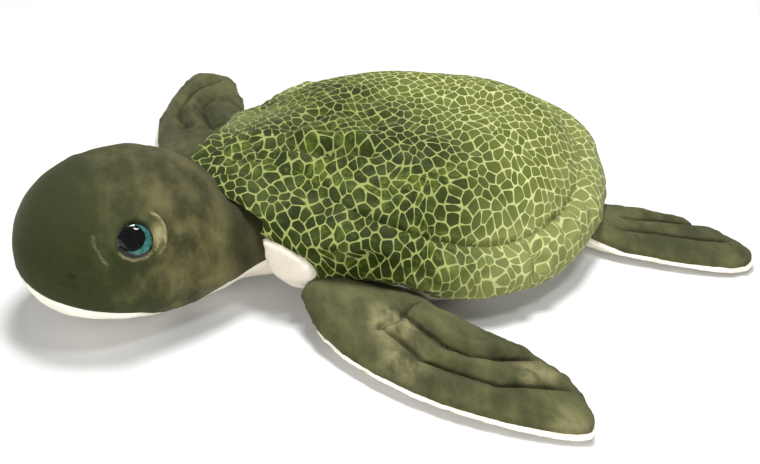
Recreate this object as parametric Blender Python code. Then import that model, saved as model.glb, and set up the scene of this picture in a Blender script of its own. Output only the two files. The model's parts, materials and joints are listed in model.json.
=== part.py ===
"""Stuffed sea turtle: sewn fabric panels over stuffing, with safety eyes.

The turtle lies on its belly. Its head points to -Y, its left side is +X and
the floor is the plane z = 0. Every bag (torso, head and four flippers) is one
closed loft. Its fabric panels are cut from that loft and get a wall, and its
stuffing fills the inside. Each limb has a rounded root that turns in a socket
of the torso.
"""
import math

import bmesh
import bpy
from mathutils import Matrix, Vector
from mathutils.bvhtree import BVHTree

# Fabric and fits
FABRIC = 0.003            # wall of a panel, backing and pile together
FIT_GAP = 0.0003          # clearance between pieces that touch
STUFFING_GAP = 0.0004     # clearance of the stuffing inside its fabric
FLOOR_CUT = 0.0005        # how deep a bag is pressed flat by the floor

# Torso
SHELL_HALF_WIDTH = 0.218
SHELL_HALF_LENGTH = 0.184
SHELL_TAPER_SHARE = 0.187       # the front is this share wider, the rear narrower
SHELL_HEIGHT = 0.108
RIM_RADIUS = 0.027        # round section of the puffed rim band
RIM_HEIGHT = 0.036        # height of the rim's outermost line
BAND_WIDTH = 0.037        # from the outermost line in to the sewn crease
CREASE_DEPTH = 0.004
DOME_FULLNESS = 3.0       # the dome stays high and falls steeply to the crease
BELLY_SEAM_INSET = 0.030  # how far the rim overhangs the belly seam
REAR_SEAM_INSET = 0.055   # the belly ends further in over the rear flippers
BELLY_SLOPE = 0.026       # from the belly seam in to the flat underside
SHOULDER_RISE = 0.006     # and this much higher over the front flippers
SHOULDER_REACH = 0.004
SHOULDER_ANGLE = math.radians(-47)
SHOULDER_SPREAD = 0.40    # in radians round the shell
COLLAR_RISE = 0.056       # the rim arches over the neck
COLLAR_REACH = 0.046
COLLAR_SPREAD = 0.62
ARCH_SPREAD = 0.42        # the arch is narrower than the collar's reach
RIM_FULLNESS = 0.66       # points of the rim's section between its quarters
CREASE_SHARE = 0.80       # the sewn crease is this share of the radius up the rim
CREASE_RISE = 0.013       # and this much higher over the front lobes
LOBE_ANGLE = math.radians(-57)
LOBE_SPREAD = 0.35        # in radians round the shell
RIM_SWELL_SHARE = 0.76    # of the way up to the crease, where the rim turns inwards
REAR_ZONE_SINE = 0.15    # sine of the angle round the shell
REAR_ZONE_SHARE = 0.40
FRONT = -math.pi / 2      # angle of the neck round the shell
TORSO_COLUMNS = 36
DOME_SHARES = (0.93, 0.78, 0.56, 0.28)

# Head and neck
NECK_INSET = 0.033        # the nod axis lies this far behind the collar's edge
NECK_AXIS_Y = NECK_INSET - SHELL_HALF_LENGTH - COLLAR_REACH
NECK_AXIS_HEIGHT = 0.046
NECK_ROOT_RADIUS = 0.036
SHOULDER_WEB = 0.0174     # belly fabric left between the neck and a front flipper's root
NECK_CENTRE_X = 0.010
HEAD_LENGTH = 0.233       # neck axis to nose
HEAD_HALF_WIDTH = 0.084
HEAD_HEIGHT = 0.147
HEAD_CENTRE_X = 0.015     # the head lies a little to its left
HEAD_MIDDLE = 0.068       # height of the widest line and of the nose
CHIN_DROP = 0.004         # the chin hangs below the floor and is pressed flat by it
CHEEK_SHARE = 0.58        # the snout rounds off from this share of the length
NECK_SQUARENESS = 4.0         # the root's section is a rounded rectangle
HEAD_SQUARENESS = 2.1
NECK_ROOM = 0.002         # at each end of the neck's root
HEAD_COLUMNS = 24
CHIN_COLUMNS = 8
HEAD_RINGS = 11
NOD_UP = math.radians(12)
NOD_DOWN = math.radians(25)
NECK_SLOPE = math.radians(25)         # the neck's top rises from its root at this angle
NECK_DROP = math.radians(16)          # and its underside falls at this one

# Front flippers, left side, in plan
FRONT_PLACE = math.radians(-53)       # where round the shell
FRONT_HINGE_INSET = 0.013             # behind the rim's outermost line
FRONT_HINGE_ANGLE = math.radians(38)  # the sewn root's line, from +X
FRONT_HINGE_HEIGHT = 0.020
FRONT_ROOT_HALF_LENGTH = 0.052
FRONT_ROOT_RADIUS = 0.0105
FRONT_ROOM = 0.004        # at each end of the root
FRONT_LENGTH = 0.251      # hinge to tip
FRONT_WIDTH = 0.116
FRONT_THICKNESS = 0.040
FRONT_SWEEP = math.radians(13.4)      # the tip's direction, from +X
FRONT_STATIONS = 10
SHOULDER_SWELL = math.radians(17)     # the flipper thickens outwards at this angle
LIFT_UP = math.radians(25)
LIFT_DOWN = math.radians(30)
# Edges after the root, as shares of the length and the width
FRONT_LEADING = ((-0.131, -0.482), (0.079, -0.661), (0.404, -0.651),
                 (0.691, -0.453), (0.865, -0.259), (0.960, -0.095))
FRONT_TRAILING = ((0.264, 0.201), (0.394, 0.267), (0.569, 0.336),
                  (0.758, 0.337), (0.894, 0.240), (0.968, 0.087))

# Rear flippers, along their own length from the sweep axis
REAR_PLACE = math.radians(34.8)       # where round the shell
REAR_AXIS_INSET = 0.030               # the sweep axis stands under the rim
REAR_ROOT_RADIUS = 0.028
REAR_ROOT_BOTTOM = 0.004
REAR_ROOT_TOP = 0.030
REAR_LENGTH = 0.172
REAR_TIP = 0.006          # from the last section to the tip
REAR_OUTER_CHORD = 0.036  # from the middle line to the edge that leads
REAR_INNER_CHORD = 0.050
REAR_CHANNEL_DEPTH = 0.005
REAR_STATIONS = 8
REAR_THICKNESS = 0.030
REAR_ANGLE_LEFT = math.radians(38)    # plan angle from +X, as it lies
REAR_ANGLE_RIGHT = math.radians(122)  # the other one trails behind, mirrored
REAR_HEADROOM = 0.0006   # between the blade and the rim above it
REAR_FLARE = math.radians(24)         # the blade widens from its root at this angle
REAR_SWEEP_MIN = math.radians(28)
REAR_SWEEP_MAX = math.radians(124)

# Channels sewn along each flipper
CHANNEL_POINTS = 3        # points over the crown of each channel
CHANNEL_DEPTH = 0.0075
LAST_VALLEY_SHARE = 0.94        # a valley ends this share of the way to the trailing edge
VALLEY_FADE_SHARE = 0.16        # over this share of the chord it runs out
SEAM_SHARE = 0.32         # height of the side seam in the thickness
ROOT_FULLNESS = 7.0       # the root's section is nearly a rectangle
ROOT_TURNS = (28, 58, 90) # sections round the root, in degrees from its back
FRONT_VALLEY_SHARES = (0.40, 0.72)          # where they start, from leading to trailing edge
REAR_VALLEY_SHARES = (0.36, 0.68)
VALLEY_START_SHARE = 0.12       # share of the length where the valleys begin
SECOND_VALLEY_SHARE = 0.62  # the second valley has reached the edge by here
ROOT_BLEND_SHARE = 0.28         # over this share of the length the root swells to the blade
BLADE_FULLNESS = 2.3
UNDER_SHARES = (1.0, 0.86, 0.62, 0.38, 0.14)
EDGE_WALL_SHARE = 1.25          # inset at an edge, where the wall is measured aslant
CROWN_WALL_SHARE = 1.1

# Eyes
EYE_DIAMETER = 0.030
EYE_DOME = 0.0075
PUPIL_DIAMETER = 0.0215
PUPIL_OFFSET = 0.0022
PUPIL_THICKNESS = 0.0012
IRIS_THICKNESS = 0.0022
SHANK_DIAMETER = 0.006
SHANK_LENGTH = 0.016
WASHER_DIAMETER = 0.024
WASHER_THICKNESS = 0.0016
WASHER_SAG = 0.0024       # the lid's curve leaves this under its middle
LID_DIAMETER = 0.064
EYE_FROM_NECK = 0.150     # along the head from the neck axis
EYE_HEIGHT = 0.107
EYE_SINK = 0.0012         # the eye's base lies this deep in its lid
LENS_EDGE = 0.001
CUT_LOW = -0.030          # reach of the cutters under and over the skin
CUT_HIGH = 0.028
EYE_ROUND = 24

COLOURS = {
    "shell_print": ((0.17, 0.22, 0.04), 0.9, 0.0),
    "olive_plush": ((0.09, 0.10, 0.035), 0.9, 0.0),
    "cream_plush": ((0.80, 0.77, 0.66), 0.9, 0.0),
    "stuffing": ((0.92, 0.92, 0.90), 1.0, 0.0),
    "clear_lens": ((0.85, 0.90, 0.90), 0.05, 0.0),
    "teal_iris": ((0.02, 0.30, 0.33), 0.25, 0.0),
    "black_plastic": ((0.01, 0.01, 0.01), 0.2, 0.0),
    "white_plastic": ((0.80, 0.80, 0.78), 0.5, 0.0),
}


def material(slot):
    """The named surface: a colour, a roughness and a metallic value."""
    if slot in bpy.data.materials:
        return bpy.data.materials[slot]
    colour, roughness, metallic = COLOURS[slot]
    made = bpy.data.materials.new(slot)
    made.use_nodes = True
    shader = made.node_tree.nodes["Principled BSDF"]
    shader.inputs["Base Color"].default_value = (*colour, 1.0)
    shader.inputs["Roughness"].default_value = roughness
    shader.inputs["Metallic"].default_value = metallic
    return made


def add_object(name, bm, slot, pivot=None, smooth=True):
    """Put a mesh in the scene with its origin on its pivot, if it has one."""
    bmesh.ops.recalc_face_normals(bm, faces=bm.faces[:])
    place = Matrix.Translation(Vector(pivot)) if pivot is not None else Matrix()
    bm.transform(place.inverted())
    mesh = bpy.data.meshes.new(name)
    bm.to_mesh(mesh)
    bm.free()
    if smooth:
        mesh.shade_smooth()
        mesh.set_sharp_from_angle(angle=math.radians(40))
    mesh.materials.append(material(slot))
    made = bpy.data.objects.new(name, mesh)
    made.matrix_world = place
    bpy.context.collection.objects.link(made)
    return made


def boolean(target, cutter, operation="DIFFERENCE"):
    """Cut a piece by another, or keep only what lies in it."""
    cut = target.modifiers.new(cutter.name, "BOOLEAN")
    cut.object = cutter
    cut.operation = operation
    cut.solver = "EXACT"


def hide_guide(guide):
    """A cutter is a guide: it isn't a piece of the toy."""
    guide.hide_render = True
    guide.display_type = "WIRE"
    return guide


def bump(angle, centre, spread):
    """A smooth rise of 1 at an angle that falls off on both sides."""
    away = math.remainder(angle - centre, 2 * math.pi)
    return math.exp(-((away / spread) ** 2))


def blend(low, high, share):
    """Straight mix of two values."""
    return low + (high - low) * share


def ease(share):
    """Smooth step from 0 to 1."""
    share = min(max(share, 0.0), 1.0)
    return share * share * (3 - 2 * share)


def curve_through(points, share):
    """Point on a smooth curve through all the points, by its share of the length."""
    lengths = [0.0]
    for one, two in zip(points, points[1:]):
        lengths.append(lengths[-1] + (two - one).length)
    along = share * lengths[-1]
    last = len(points) - 1
    index = max(i for i in range(last) if lengths[i] <= along or i == 0)
    span = lengths[index + 1] - lengths[index]
    t = (along - lengths[index]) / span

    def slope(i):
        before, after = max(i - 1, 0), min(i + 1, last)
        return (points[after] - points[before]) * (span / (lengths[after] - lengths[before]))

    h1, h2 = 2 * t**3 - 3 * t**2 + 1, t**3 - 2 * t**2 + t
    h3, h4 = -2 * t**3 + 3 * t**2, t**3 - t**2
    return points[index] * h1 + slope(index) * h2 + points[index + 1] * h3 + slope(index + 1) * h4


class Bag:
    """A closed loft of rings, with an inside offset by the fabric's wall.

    redraw, where given, makes the points of the same loft at an inset. Without
    it the inset follows the surface's normals.
    """

    def __init__(self, rings, first_pole=None, last_pole=None, redraw=None):
        size = len(rings[0])
        self.redraw = redraw
        self.points = [point.copy() for ring in rings for point in ring]
        self.faces = []
        for row in range(len(rings) - 1):
            for column in range(size):
                after = (column + 1) % size
                low, high = row * size, (row + 1) * size
                self.add_quad((row, column), (low + column, low + after, high + after, high + column))
        self.close(0, list(range(size)), first_pole, -1)
        top = (len(rings) - 1) * size
        self.close(top, list(range(top, top + size))[::-1], last_pole, len(rings) - 1)
        for point in self.points:
            point.z = max(point.z, 0.0)

    def add_quad(self, key, quad):
        """Two triangles, split along the diagonal that bulges most.

        Every inset of the bag keeps this split, so that its layers never cross.
        """
        middle = sum(self.points, Vector()) / len(self.points)
        one, two, three, four = quad
        first = (self.points[one] + self.points[three]) / 2 - middle
        second = (self.points[two] + self.points[four]) / 2 - middle
        if first.length >= second.length:
            halves = ((one, two, three), (one, three, four))
        else:
            halves = ((two, three, four), (two, four, one))
        self.faces += [(key, half) for half in halves]

    def close(self, start, ring, pole, row):
        """End the loft in a pole, or in one flat face."""
        size = len(ring)
        if pole is None:
            self.faces.append(((row, 0), tuple(ring[::-1])))
            return
        self.points.append(pole.copy())
        tip = len(self.points) - 1
        for step in range(size):
            one, two = ring[step], ring[(step + 1) % size]
            column = min(one, two) - start
            if abs(one - two) > 1:
                column = size - 1
            self.faces.append(((row, column), (two, one, tip)))

    def offset(self, distance):
        """The points moved inwards, square to the surface."""
        if self.redraw:
            return self.redraw(distance)
        bm = bmesh.new()
        corners = [bm.verts.new(point) for point in self.points]
        for _, face in self.faces:
            bm.faces.new([corners[i] for i in face])
        bmesh.ops.recalc_face_normals(bm, faces=bm.faces[:])
        bm.normal_update()
        moved = []
        for corner in corners:
            reach = min(corner.calc_shell_factor(), 1.6) * distance
            moved.append(corner.co - corner.normal * reach)
        bm.free()
        return moved

    def solid(self, distance):
        """The whole inside at a distance from the surface, as the stuffing fills it."""
        bm = bmesh.new()
        corners = [bm.verts.new(point) for point in self.offset(distance)]
        for _, face in self.faces:
            bm.faces.new([corners[i] for i in face])
        return bm

    def panel(self, belongs):
        """One fabric panel: the faces that belong to it, with the fabric's wall."""
        kept = [face for key, face in self.faces if belongs(*key)]
        used = sorted({i for face in kept for i in face})
        edges = {}
        for face in kept:
            for one, two in zip(face, face[1:] + face[:1]):
                edges[(one, two)] = edges.get((one, two), 0) + 1
        rim = [edge for edge in edges if (edge[1], edge[0]) not in edges]
        on_rim = {i for edge in rim for i in edge}
        pull = {i: Vector() for i in on_rim}
        for one, two in edges:
            if (one in on_rim) != (two in on_rim):
                outer, inner = (one, two) if one in on_rim else (two, one)
                pull[outer] += (self.points[inner] - self.points[outer]).normalized()
        inside = self.offset(FABRIC)
        bm = bmesh.new()
        outer, inner = {}, {}
        for i in used:
            shift = pull[i].normalized() * FIT_GAP * 0.6 if i in on_rim else Vector()
            outer[i] = bm.verts.new(self.points[i] + shift)
            inner[i] = bm.verts.new(inside[i] + shift)
        for face in kept:
            bm.faces.new([outer[i] for i in face])
            bm.faces.new([inner[i] for i in reversed(face)])
        for one, two in rim:
            if one < two:
                halves = ((outer[two], outer[one], inner[two]), (outer[one], inner[one], inner[two]))
            else:
                halves = ((outer[two], outer[one], inner[one]), (outer[two], inner[one], inner[two]))
            for half in halves:
                bm.faces.new(half)
        return bm


def shoulders(angle):
    """Rise of 1 at both front shoulders."""
    near = bump(angle, SHOULDER_ANGLE, SHOULDER_SPREAD)
    return near + bump(angle, math.pi - SHOULDER_ANGLE, SHOULDER_SPREAD)


def rear_zone(angle):
    """1 round the rear, where the flippers pass under the rim, and 0 elsewhere."""
    return ease((math.sin(angle) - REAR_ZONE_SINE) / REAR_ZONE_SHARE)


def shell_outline(angle, inset):
    """Plan of the shell at an angle, moved in from its outermost line."""
    collar = COLLAR_REACH * bump(angle, FRONT, COLLAR_SPREAD)
    half_width = SHELL_HALF_WIDTH - inset + SHOULDER_REACH * shoulders(angle)
    half_length = SHELL_HALF_LENGTH - inset
    x = half_width * math.cos(angle) * (1 - SHELL_TAPER_SHARE * math.sin(angle))
    return Vector((x, half_length * math.sin(angle) - collar, 0.0))


def rim_height(angle):
    """Height of the rim's outermost line: low at the sides, arched over the neck."""
    rise = SHOULDER_RISE * shoulders(angle) + COLLAR_RISE * bump(angle, FRONT, ARCH_SPREAD)
    return RIM_HEIGHT + rise


def crease_height(angle):
    """Height of the sewn line between the rim band and the dome."""
    lobes = bump(angle, LOBE_ANGLE, LOBE_SPREAD) + bump(angle, math.pi - LOBE_ANGLE, LOBE_SPREAD)
    return min(rim_height(angle) + RIM_RADIUS * CREASE_SHARE + CREASE_RISE * lobes, SHELL_HEIGHT)


def belly_inset(angle):
    """How far in from the rim the belly's seam runs."""
    raised = min(shoulders(angle) + bump(angle, FRONT, ARCH_SPREAD), 1.0)
    return blend(BELLY_SEAM_INSET * (1 - 0.45 * raised), REAR_SEAM_INSET, rear_zone(angle))


def underside(angle, share):
    """Height of the rim's lower side; over the rear flippers it is flat and clears them."""
    free = rim_height(angle) - RIM_RADIUS * share
    return blend(free, REAR_THICKNESS + REAR_HEADROOM, rear_zone(angle))


def torso_bag():
    """Belly, rim band and dome as one loft from the underside to the crown."""
    angles = [2 * math.pi * step / TORSO_COLUMNS for step in range(TORSO_COLUMNS)]
    rings = []

    def ring(inset, height):
        made = []
        for angle in angles:
            point = shell_outline(angle, inset(angle) if callable(inset) else inset)
            point.z = height(angle)
            made.append(point)
        rings.append(made)

    def dome(share):
        """Ring of the dome at a share of the way from the crown out to the crease."""
        crease = RIM_HEIGHT + RIM_RADIUS * CREASE_SHARE
        height = crease + (SHELL_HEIGHT - crease) * (1 - share**DOME_FULLNESS)
        inset = blend(SHELL_HALF_LENGTH, BAND_WIDTH, share)
        ring(inset, lambda angle: height + (crease_height(angle) - crease) * share**3)

    ring(SHELL_HALF_LENGTH * 0.72, lambda angle: -FLOOR_CUT)
    ring(lambda angle: belly_inset(angle) + BELLY_SLOPE, lambda angle: -FLOOR_CUT)
    ring(lambda angle: belly_inset(angle) + BELLY_SLOPE * 0.35, lambda angle: underside(angle, 0.8) * 0.42)
    ring(belly_inset, lambda angle: underside(angle, 0.8))
    ring(RIM_RADIUS * 0.28, lambda angle: underside(angle, RIM_FULLNESS))
    ring(0.0, rim_height)
    ring(RIM_RADIUS * 0.30, lambda angle: blend(rim_height(angle), crease_height(angle), RIM_SWELL_SHARE))
    ring(BAND_WIDTH * 0.62, crease_height)
    ring(BAND_WIDTH, lambda angle: crease_height(angle) - CREASE_DEPTH)
    for share in DOME_SHARES:
        dome(share)
    rows = {"belly_panel": range(-1, 3), "shell_rim_band": range(3, 8),
            "shell_top_panel": range(8, len(rings))}
    return Bag(rings, Vector(), Vector((0.0, 0.0, SHELL_HEIGHT))), rows


def keyhole(name, centre, axis, forward, radius, half_length, first, last, reach=0.25):
    """Room for a rounded root: a round bore and the wedge that its limb turns in.

    first and last are the wedge's sides, as angles from forward about the axis.
    """
    side = axis.cross(forward)
    outline = []
    steps = 12
    start = last + math.pi / 2
    end = first + 3 * math.pi / 2
    for step in range(steps + 1):
        angle = blend(start, end, step / steps)
        outline.append((forward * math.cos(angle) + side * math.sin(angle)) * radius)
    for angle, corner in ((first, outline[-1]), (last, outline[0])):
        outline.append(corner + (forward * math.cos(angle) + side * math.sin(angle)) * reach)
    bm = bmesh.new()
    floor = [bm.verts.new(centre + point - axis * half_length) for point in outline]
    face = bm.faces.new(floor)
    lifted = bmesh.ops.extrude_face_region(bm, geom=[face])["geom"]
    corners = [item for item in lifted if isinstance(item, bmesh.types.BMVert)]
    bmesh.ops.translate(bm, verts=corners, vec=axis * (2 * half_length))
    return hide_guide(add_object(name, bm, "stuffing", smooth=False))


def flipper_ring(leading, trailing, seam, top, bottom, fullness, valleys, depth, inset):
    """Section of a flipper between its two edges, at an inset from the surface.

    The upper half has a crown over each channel and a valley between two
    channels. The lower half is one shallow curve.
    """
    marks = (0.0, valleys[0], valleys[1], 1.0)
    deep = [depth * ease((LAST_VALLEY_SHARE - mark) / VALLEY_FADE_SHARE) for mark in marks]
    deep[0], deep[3] = depth, deep[2]
    edge = inset * EDGE_WALL_SHARE / (trailing - leading).length
    hold = min(10.0, 0.8 / edge) if edge else 1.0
    ring = []

    def place(across, rise, full):
        """One point: near an edge it moves along the chord, elsewhere up or down."""
        sunk_in = inset * CROWN_WALL_SHARE * min(1.0, abs(rise) / (0.45 * full))
        moved = across + edge * ((1 - across) ** hold - across**hold)
        point = leading.lerp(trailing, moved)
        point.z = max(seam + rise - math.copysign(sunk_in, rise), inset)
        ring.append(point)

    def crown(across):
        return (1 - abs(2 * across - 1) ** fullness) ** (1 / fullness)

    for channel in range(3):
        for step in range(CHANNEL_POINTS + 1):
            share = step / (CHANNEL_POINTS + 1)
            across = blend(marks[channel], marks[channel + 1], share)
            sunk = blend(deep[channel], deep[channel + 1], share) * (1 - math.sin(math.pi * share) ** 0.8)
            place(across, top * crown(across) * (1 - sunk), top)
    for across in UNDER_SHARES:
        place(across, -bottom * crown(across), bottom)
    return ring


def channel_valleys(share, starts):
    """Where the two sewn valleys cross a section, as shares from leading to trailing edge.

    Each valley runs out to the trailing edge: the second early, the first near the tip.
    """
    run = share - VALLEY_START_SHARE
    first = blend(starts[0], LAST_VALLEY_SHARE, ease(run / (1 - VALLEY_START_SHARE)))
    second = blend(starts[1], LAST_VALLEY_SHARE, ease(run / (SECOND_VALLEY_SHARE - VALLEY_START_SHARE)))
    return first, max(second, blend(first, 1.0, 0.4))


def channel_depth(share, depth):
    """Depth of the valleys, which start at nothing beside the root."""
    return depth * ease((share - VALLEY_START_SHARE) / (SECOND_VALLEY_SHARE - VALLEY_START_SHARE) * 2)


def flipper(name, rings_at, pivot):
    """Upper panel, under panel and stuffing of one flipper, from its rings."""
    def redraw(inset):
        rings, tip = rings_at(inset)
        return [point for ring in rings for point in ring] + [tip]

    rings, tip = rings_at(0.0)
    bag = Bag(rings, None, tip, redraw)
    channels = 3 * (CHANNEL_POINTS + 1)
    upper = bag.panel(lambda row, column: row >= 0 and column < channels)
    under = bag.panel(lambda row, column: row < 0 or column >= channels)
    add_object(name + "_upper_panel", upper, "olive_plush", pivot)
    add_object(name + "_under_panel", under, "cream_plush", pivot)
    add_object(name + "_stuffing", bag.solid(FABRIC + STUFFING_GAP), "stuffing", pivot)


def stations(count):
    """Shares along a flipper, closer together towards the tip."""
    return [1 - (1 - step / count) ** 1.25 for step in range(1, count + 1)]


def hinge_centre():
    """Middle of the left front flipper's seam, under the rim."""
    centre = shell_outline(FRONT_PLACE, FRONT_HINGE_INSET)
    centre.z = FRONT_HINGE_HEIGHT
    return centre


def front_edge(points, start):
    """One edge of the left front flipper in plan, from its end of the root."""
    reach = Vector((math.cos(FRONT_SWEEP), math.sin(FRONT_SWEEP), 0)) * FRONT_LENGTH
    across = Vector((-math.sin(FRONT_SWEEP), math.cos(FRONT_SWEEP), 0)) * FRONT_WIDTH
    centre = hinge_centre()
    edge = [start] + [centre + reach * along + across * out for along, out in points]
    return edge, centre + reach


def mirrored(point, side):
    """A point or direction of the left side, or its mirror image for the right."""
    return Vector((point.x * side, point.y, point.z))


def front_flipper(side, name):
    """A front flipper that lifts about the seam under the rim."""
    along = Vector((math.cos(FRONT_HINGE_ANGLE), math.sin(FRONT_HINGE_ANGLE), 0))
    outward = Vector((along.y, -along.x, 0))
    middle = hinge_centre()
    ends = [middle + along * FRONT_ROOT_HALF_LENGTH * way for way in (-1, 1)]
    leading, tip_point = front_edge(FRONT_LEADING, ends[0])
    trailing, _ = front_edge(FRONT_TRAILING, ends[1])

    def root_ring(angle, inset):
        back = outward * (-(FRONT_ROOT_RADIUS - inset) * math.cos(angle))
        half = FRONT_ROOT_RADIUS * math.sin(angle)
        return flipper_ring(ends[0] + back, ends[1] + back, FRONT_HINGE_HEIGHT, half, half,
                            ROOT_FULLNESS, FRONT_VALLEY_SHARES, 0.0, inset * math.sin(angle))

    def blade_ring(share, inset):
        spread = ease(share / ROOT_BLEND_SHARE)
        thick = FRONT_THICKNESS * (1 - 0.50 * share**1.8)
        seam = blend(FRONT_HINGE_HEIGHT, thick * SEAM_SHARE, spread)
        top = blend(FRONT_ROOT_RADIUS, thick - seam, spread)
        bottom = blend(FRONT_ROOT_RADIUS, seam + FLOOR_CUT, spread)
        return flipper_ring(curve_through(leading, share), curve_through(trailing, share), seam, top, bottom,
                            blend(ROOT_FULLNESS, BLADE_FULLNESS, spread),
                            channel_valleys(share, FRONT_VALLEY_SHARES),
                            channel_depth(share, CHANNEL_DEPTH) / top, inset)

    def rings_at(inset):
        rings = [root_ring(math.radians(turn), inset) for turn in ROOT_TURNS]
        rings += [blade_ring(share, inset) for share in stations(FRONT_STATIONS)]
        last = leading[-1].lerp(trailing[-1], 0.5)
        tip = tip_point + (last - tip_point).normalized() * inset * EDGE_WALL_SHARE
        tip.z = max(FRONT_THICKNESS * 0.2, inset)
        return [[mirrored(point, side) for point in ring] for ring in rings], mirrored(tip, side)

    flipper(name, rings_at, mirrored(middle, side))
    away = mirrored(outward, side)
    return keyhole("room_for_" + name, mirrored(middle, side), away.cross(Vector((0, 0, 1))), away,
                   FRONT_ROOT_RADIUS + FIT_GAP, FRONT_ROOT_HALF_LENGTH + FRONT_ROOM,
                   -LIFT_DOWN, LIFT_UP + SHOULDER_SWELL)


def sweep_axis():
    """Foot of the left rear flipper's upright axis."""
    return shell_outline(REAR_PLACE, REAR_AXIS_INSET)


def rear_flipper(side, name, plan_angle):
    """A rear flipper that sweeps about an upright axis under the rim."""
    centre = sweep_axis()
    forward = Vector((math.cos(plan_angle), math.sin(plan_angle), 0))
    across = Vector((-forward.y, forward.x, 0))
    middle = (REAR_ROOT_BOTTOM + REAR_ROOT_TOP) / 2
    half = (REAR_ROOT_TOP - REAR_ROOT_BOTTOM) / 2

    def root_ring(angle, inset):
        back = centre - forward * (REAR_ROOT_RADIUS - inset) * math.cos(angle)
        chord = across * REAR_ROOT_RADIUS * math.sin(angle)
        return flipper_ring(back - chord, back + chord, middle, half, half,
                            ROOT_FULLNESS, REAR_VALLEY_SHARES, 0.0, inset)

    def blade_ring(share, inset):
        point = centre + forward * (REAR_LENGTH - REAR_TIP) * share
        taper = math.sqrt(1 - 0.88 * share**4)
        spread = ease(share / ROOT_BLEND_SHARE)
        outer = blend(REAR_ROOT_RADIUS, REAR_OUTER_CHORD, spread) * taper
        inner = blend(REAR_ROOT_RADIUS, REAR_INNER_CHORD, spread) * taper
        thick = REAR_THICKNESS * (1 - 0.42 * share**2)
        seam = blend(middle, thick * SEAM_SHARE, spread)
        top = blend(half, thick - seam, spread)
        bottom = blend(half, seam + FLOOR_CUT, spread)
        return flipper_ring(point - across * outer, point + across * inner, seam, top, bottom,
                            blend(ROOT_FULLNESS, BLADE_FULLNESS, spread),
                            channel_valleys(share, REAR_VALLEY_SHARES),
                            channel_depth(share, REAR_CHANNEL_DEPTH) / top, inset)

    def rings_at(inset):
        rings = [root_ring(math.radians(turn), inset) for turn in ROOT_TURNS]
        rings += [blade_ring(share, inset) for share in stations(REAR_STATIONS)]
        tip = centre + forward * (REAR_LENGTH - inset * EDGE_WALL_SHARE)
        tip.z = max(REAR_THICKNESS * 0.25, inset)
        return [[mirrored(point, side) for point in ring] for ring in rings], mirrored(tip, side)

    flipper(name, rings_at, mirrored(centre, side))
    lowest = REAR_SWEEP_MIN - plan_angle - REAR_FLARE / 2
    highest = REAR_SWEEP_MAX - plan_angle + REAR_FLARE
    if side < 0:
        lowest, highest = -highest, -lowest
    foot = mirrored(centre, side)
    foot.z = REAR_THICKNESS + REAR_HEADROOM / 2 - REAR_LENGTH
    return keyhole("room_for_" + name, foot, Vector((0, 0, 1)), mirrored(forward, side),
                   REAR_ROOT_RADIUS + FIT_GAP, REAR_LENGTH, lowest, highest)


def neck_half_width():
    """The neck fills the collar between the roots of the front flippers."""
    root_end = hinge_centre().x - math.cos(FRONT_HINGE_ANGLE) * FRONT_ROOT_HALF_LENGTH
    return root_end - NECK_CENTRE_X - SHOULDER_WEB


def head_profile(share):
    """Half width, top and bottom of the head at a share of its length from the neck."""
    snout = max((share - CHEEK_SHARE) / (1 - CHEEK_SHARE), 0.0)
    rounding = math.sqrt(max(1 - snout**2.3, 0.0))
    width = blend(neck_half_width(), HEAD_HALF_WIDTH, ease(share / 0.5)) * rounding
    top = blend(NECK_AXIS_HEIGHT + NECK_ROOT_RADIUS, HEAD_HEIGHT, ease((share + 0.02) / 0.55))
    bottom = blend(NECK_AXIS_HEIGHT - NECK_ROOT_RADIUS, -CHIN_DROP, ease(share / 0.25))
    return width, blend(HEAD_MIDDLE, top, rounding), blend(HEAD_MIDDLE, bottom, rounding)


def chin_angle(share):
    """How far up the side the cream chin panel reaches, from straight down."""
    return math.radians(90 - 44 * ease((share - 0.12) / 0.30) + 34 * ease((share - 0.55) / 0.45))


def head_ring(x, y, width, top, bottom, chin, squareness):
    """Section of the head: the chin panel's points first, then the crown's."""
    middle, half = (top + bottom) / 2, (top - bottom) / 2
    turns = [blend(-chin, chin, step / CHIN_COLUMNS) for step in range(CHIN_COLUMNS)]
    rest = HEAD_COLUMNS - CHIN_COLUMNS
    turns += [blend(chin, 2 * math.pi - chin, step / rest) for step in range(rest)]
    ring = []
    for turn in turns:
        across, down = math.sin(turn), math.cos(turn)
        across = math.copysign(abs(across) ** (2 / squareness), across)
        down = math.copysign(abs(down) ** (2 / squareness), down)
        ring.append(Vector((x + width * across, y, middle - half * down)))
    return ring


def head_centre_x(share):
    """The middle line of the head, which bends a little to its left."""
    return blend(NECK_CENTRE_X, HEAD_CENTRE_X, ease(share / 0.6))


def head_bag():
    """Neck root, neck and head as one loft from the root to the nose."""
    rings = []
    root_chin = chin_angle(0.0)
    for turn in ROOT_TURNS:
        y = NECK_AXIS_Y + NECK_ROOT_RADIUS * math.cos(math.radians(turn))
        half = NECK_ROOT_RADIUS * math.sin(math.radians(turn))
        rings.append(head_ring(NECK_CENTRE_X, y, neck_half_width(), NECK_AXIS_HEIGHT + half,
                               NECK_AXIS_HEIGHT - half, root_chin, NECK_SQUARENESS))
    for step in range(1, HEAD_RINGS):
        share = math.sin(math.pi / 2 * step / HEAD_RINGS) ** 1.25
        width, top, bottom = head_profile(share)
        squareness = blend(NECK_SQUARENESS, HEAD_SQUARENESS, ease(share / 0.3))
        rings.append(head_ring(head_centre_x(share), NECK_AXIS_Y - HEAD_LENGTH * share, width,
                               top, bottom, chin_angle(share), squareness))
    nose = Vector((HEAD_CENTRE_X, NECK_AXIS_Y - HEAD_LENGTH, HEAD_MIDDLE))
    return Bag(rings, None, nose)


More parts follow.
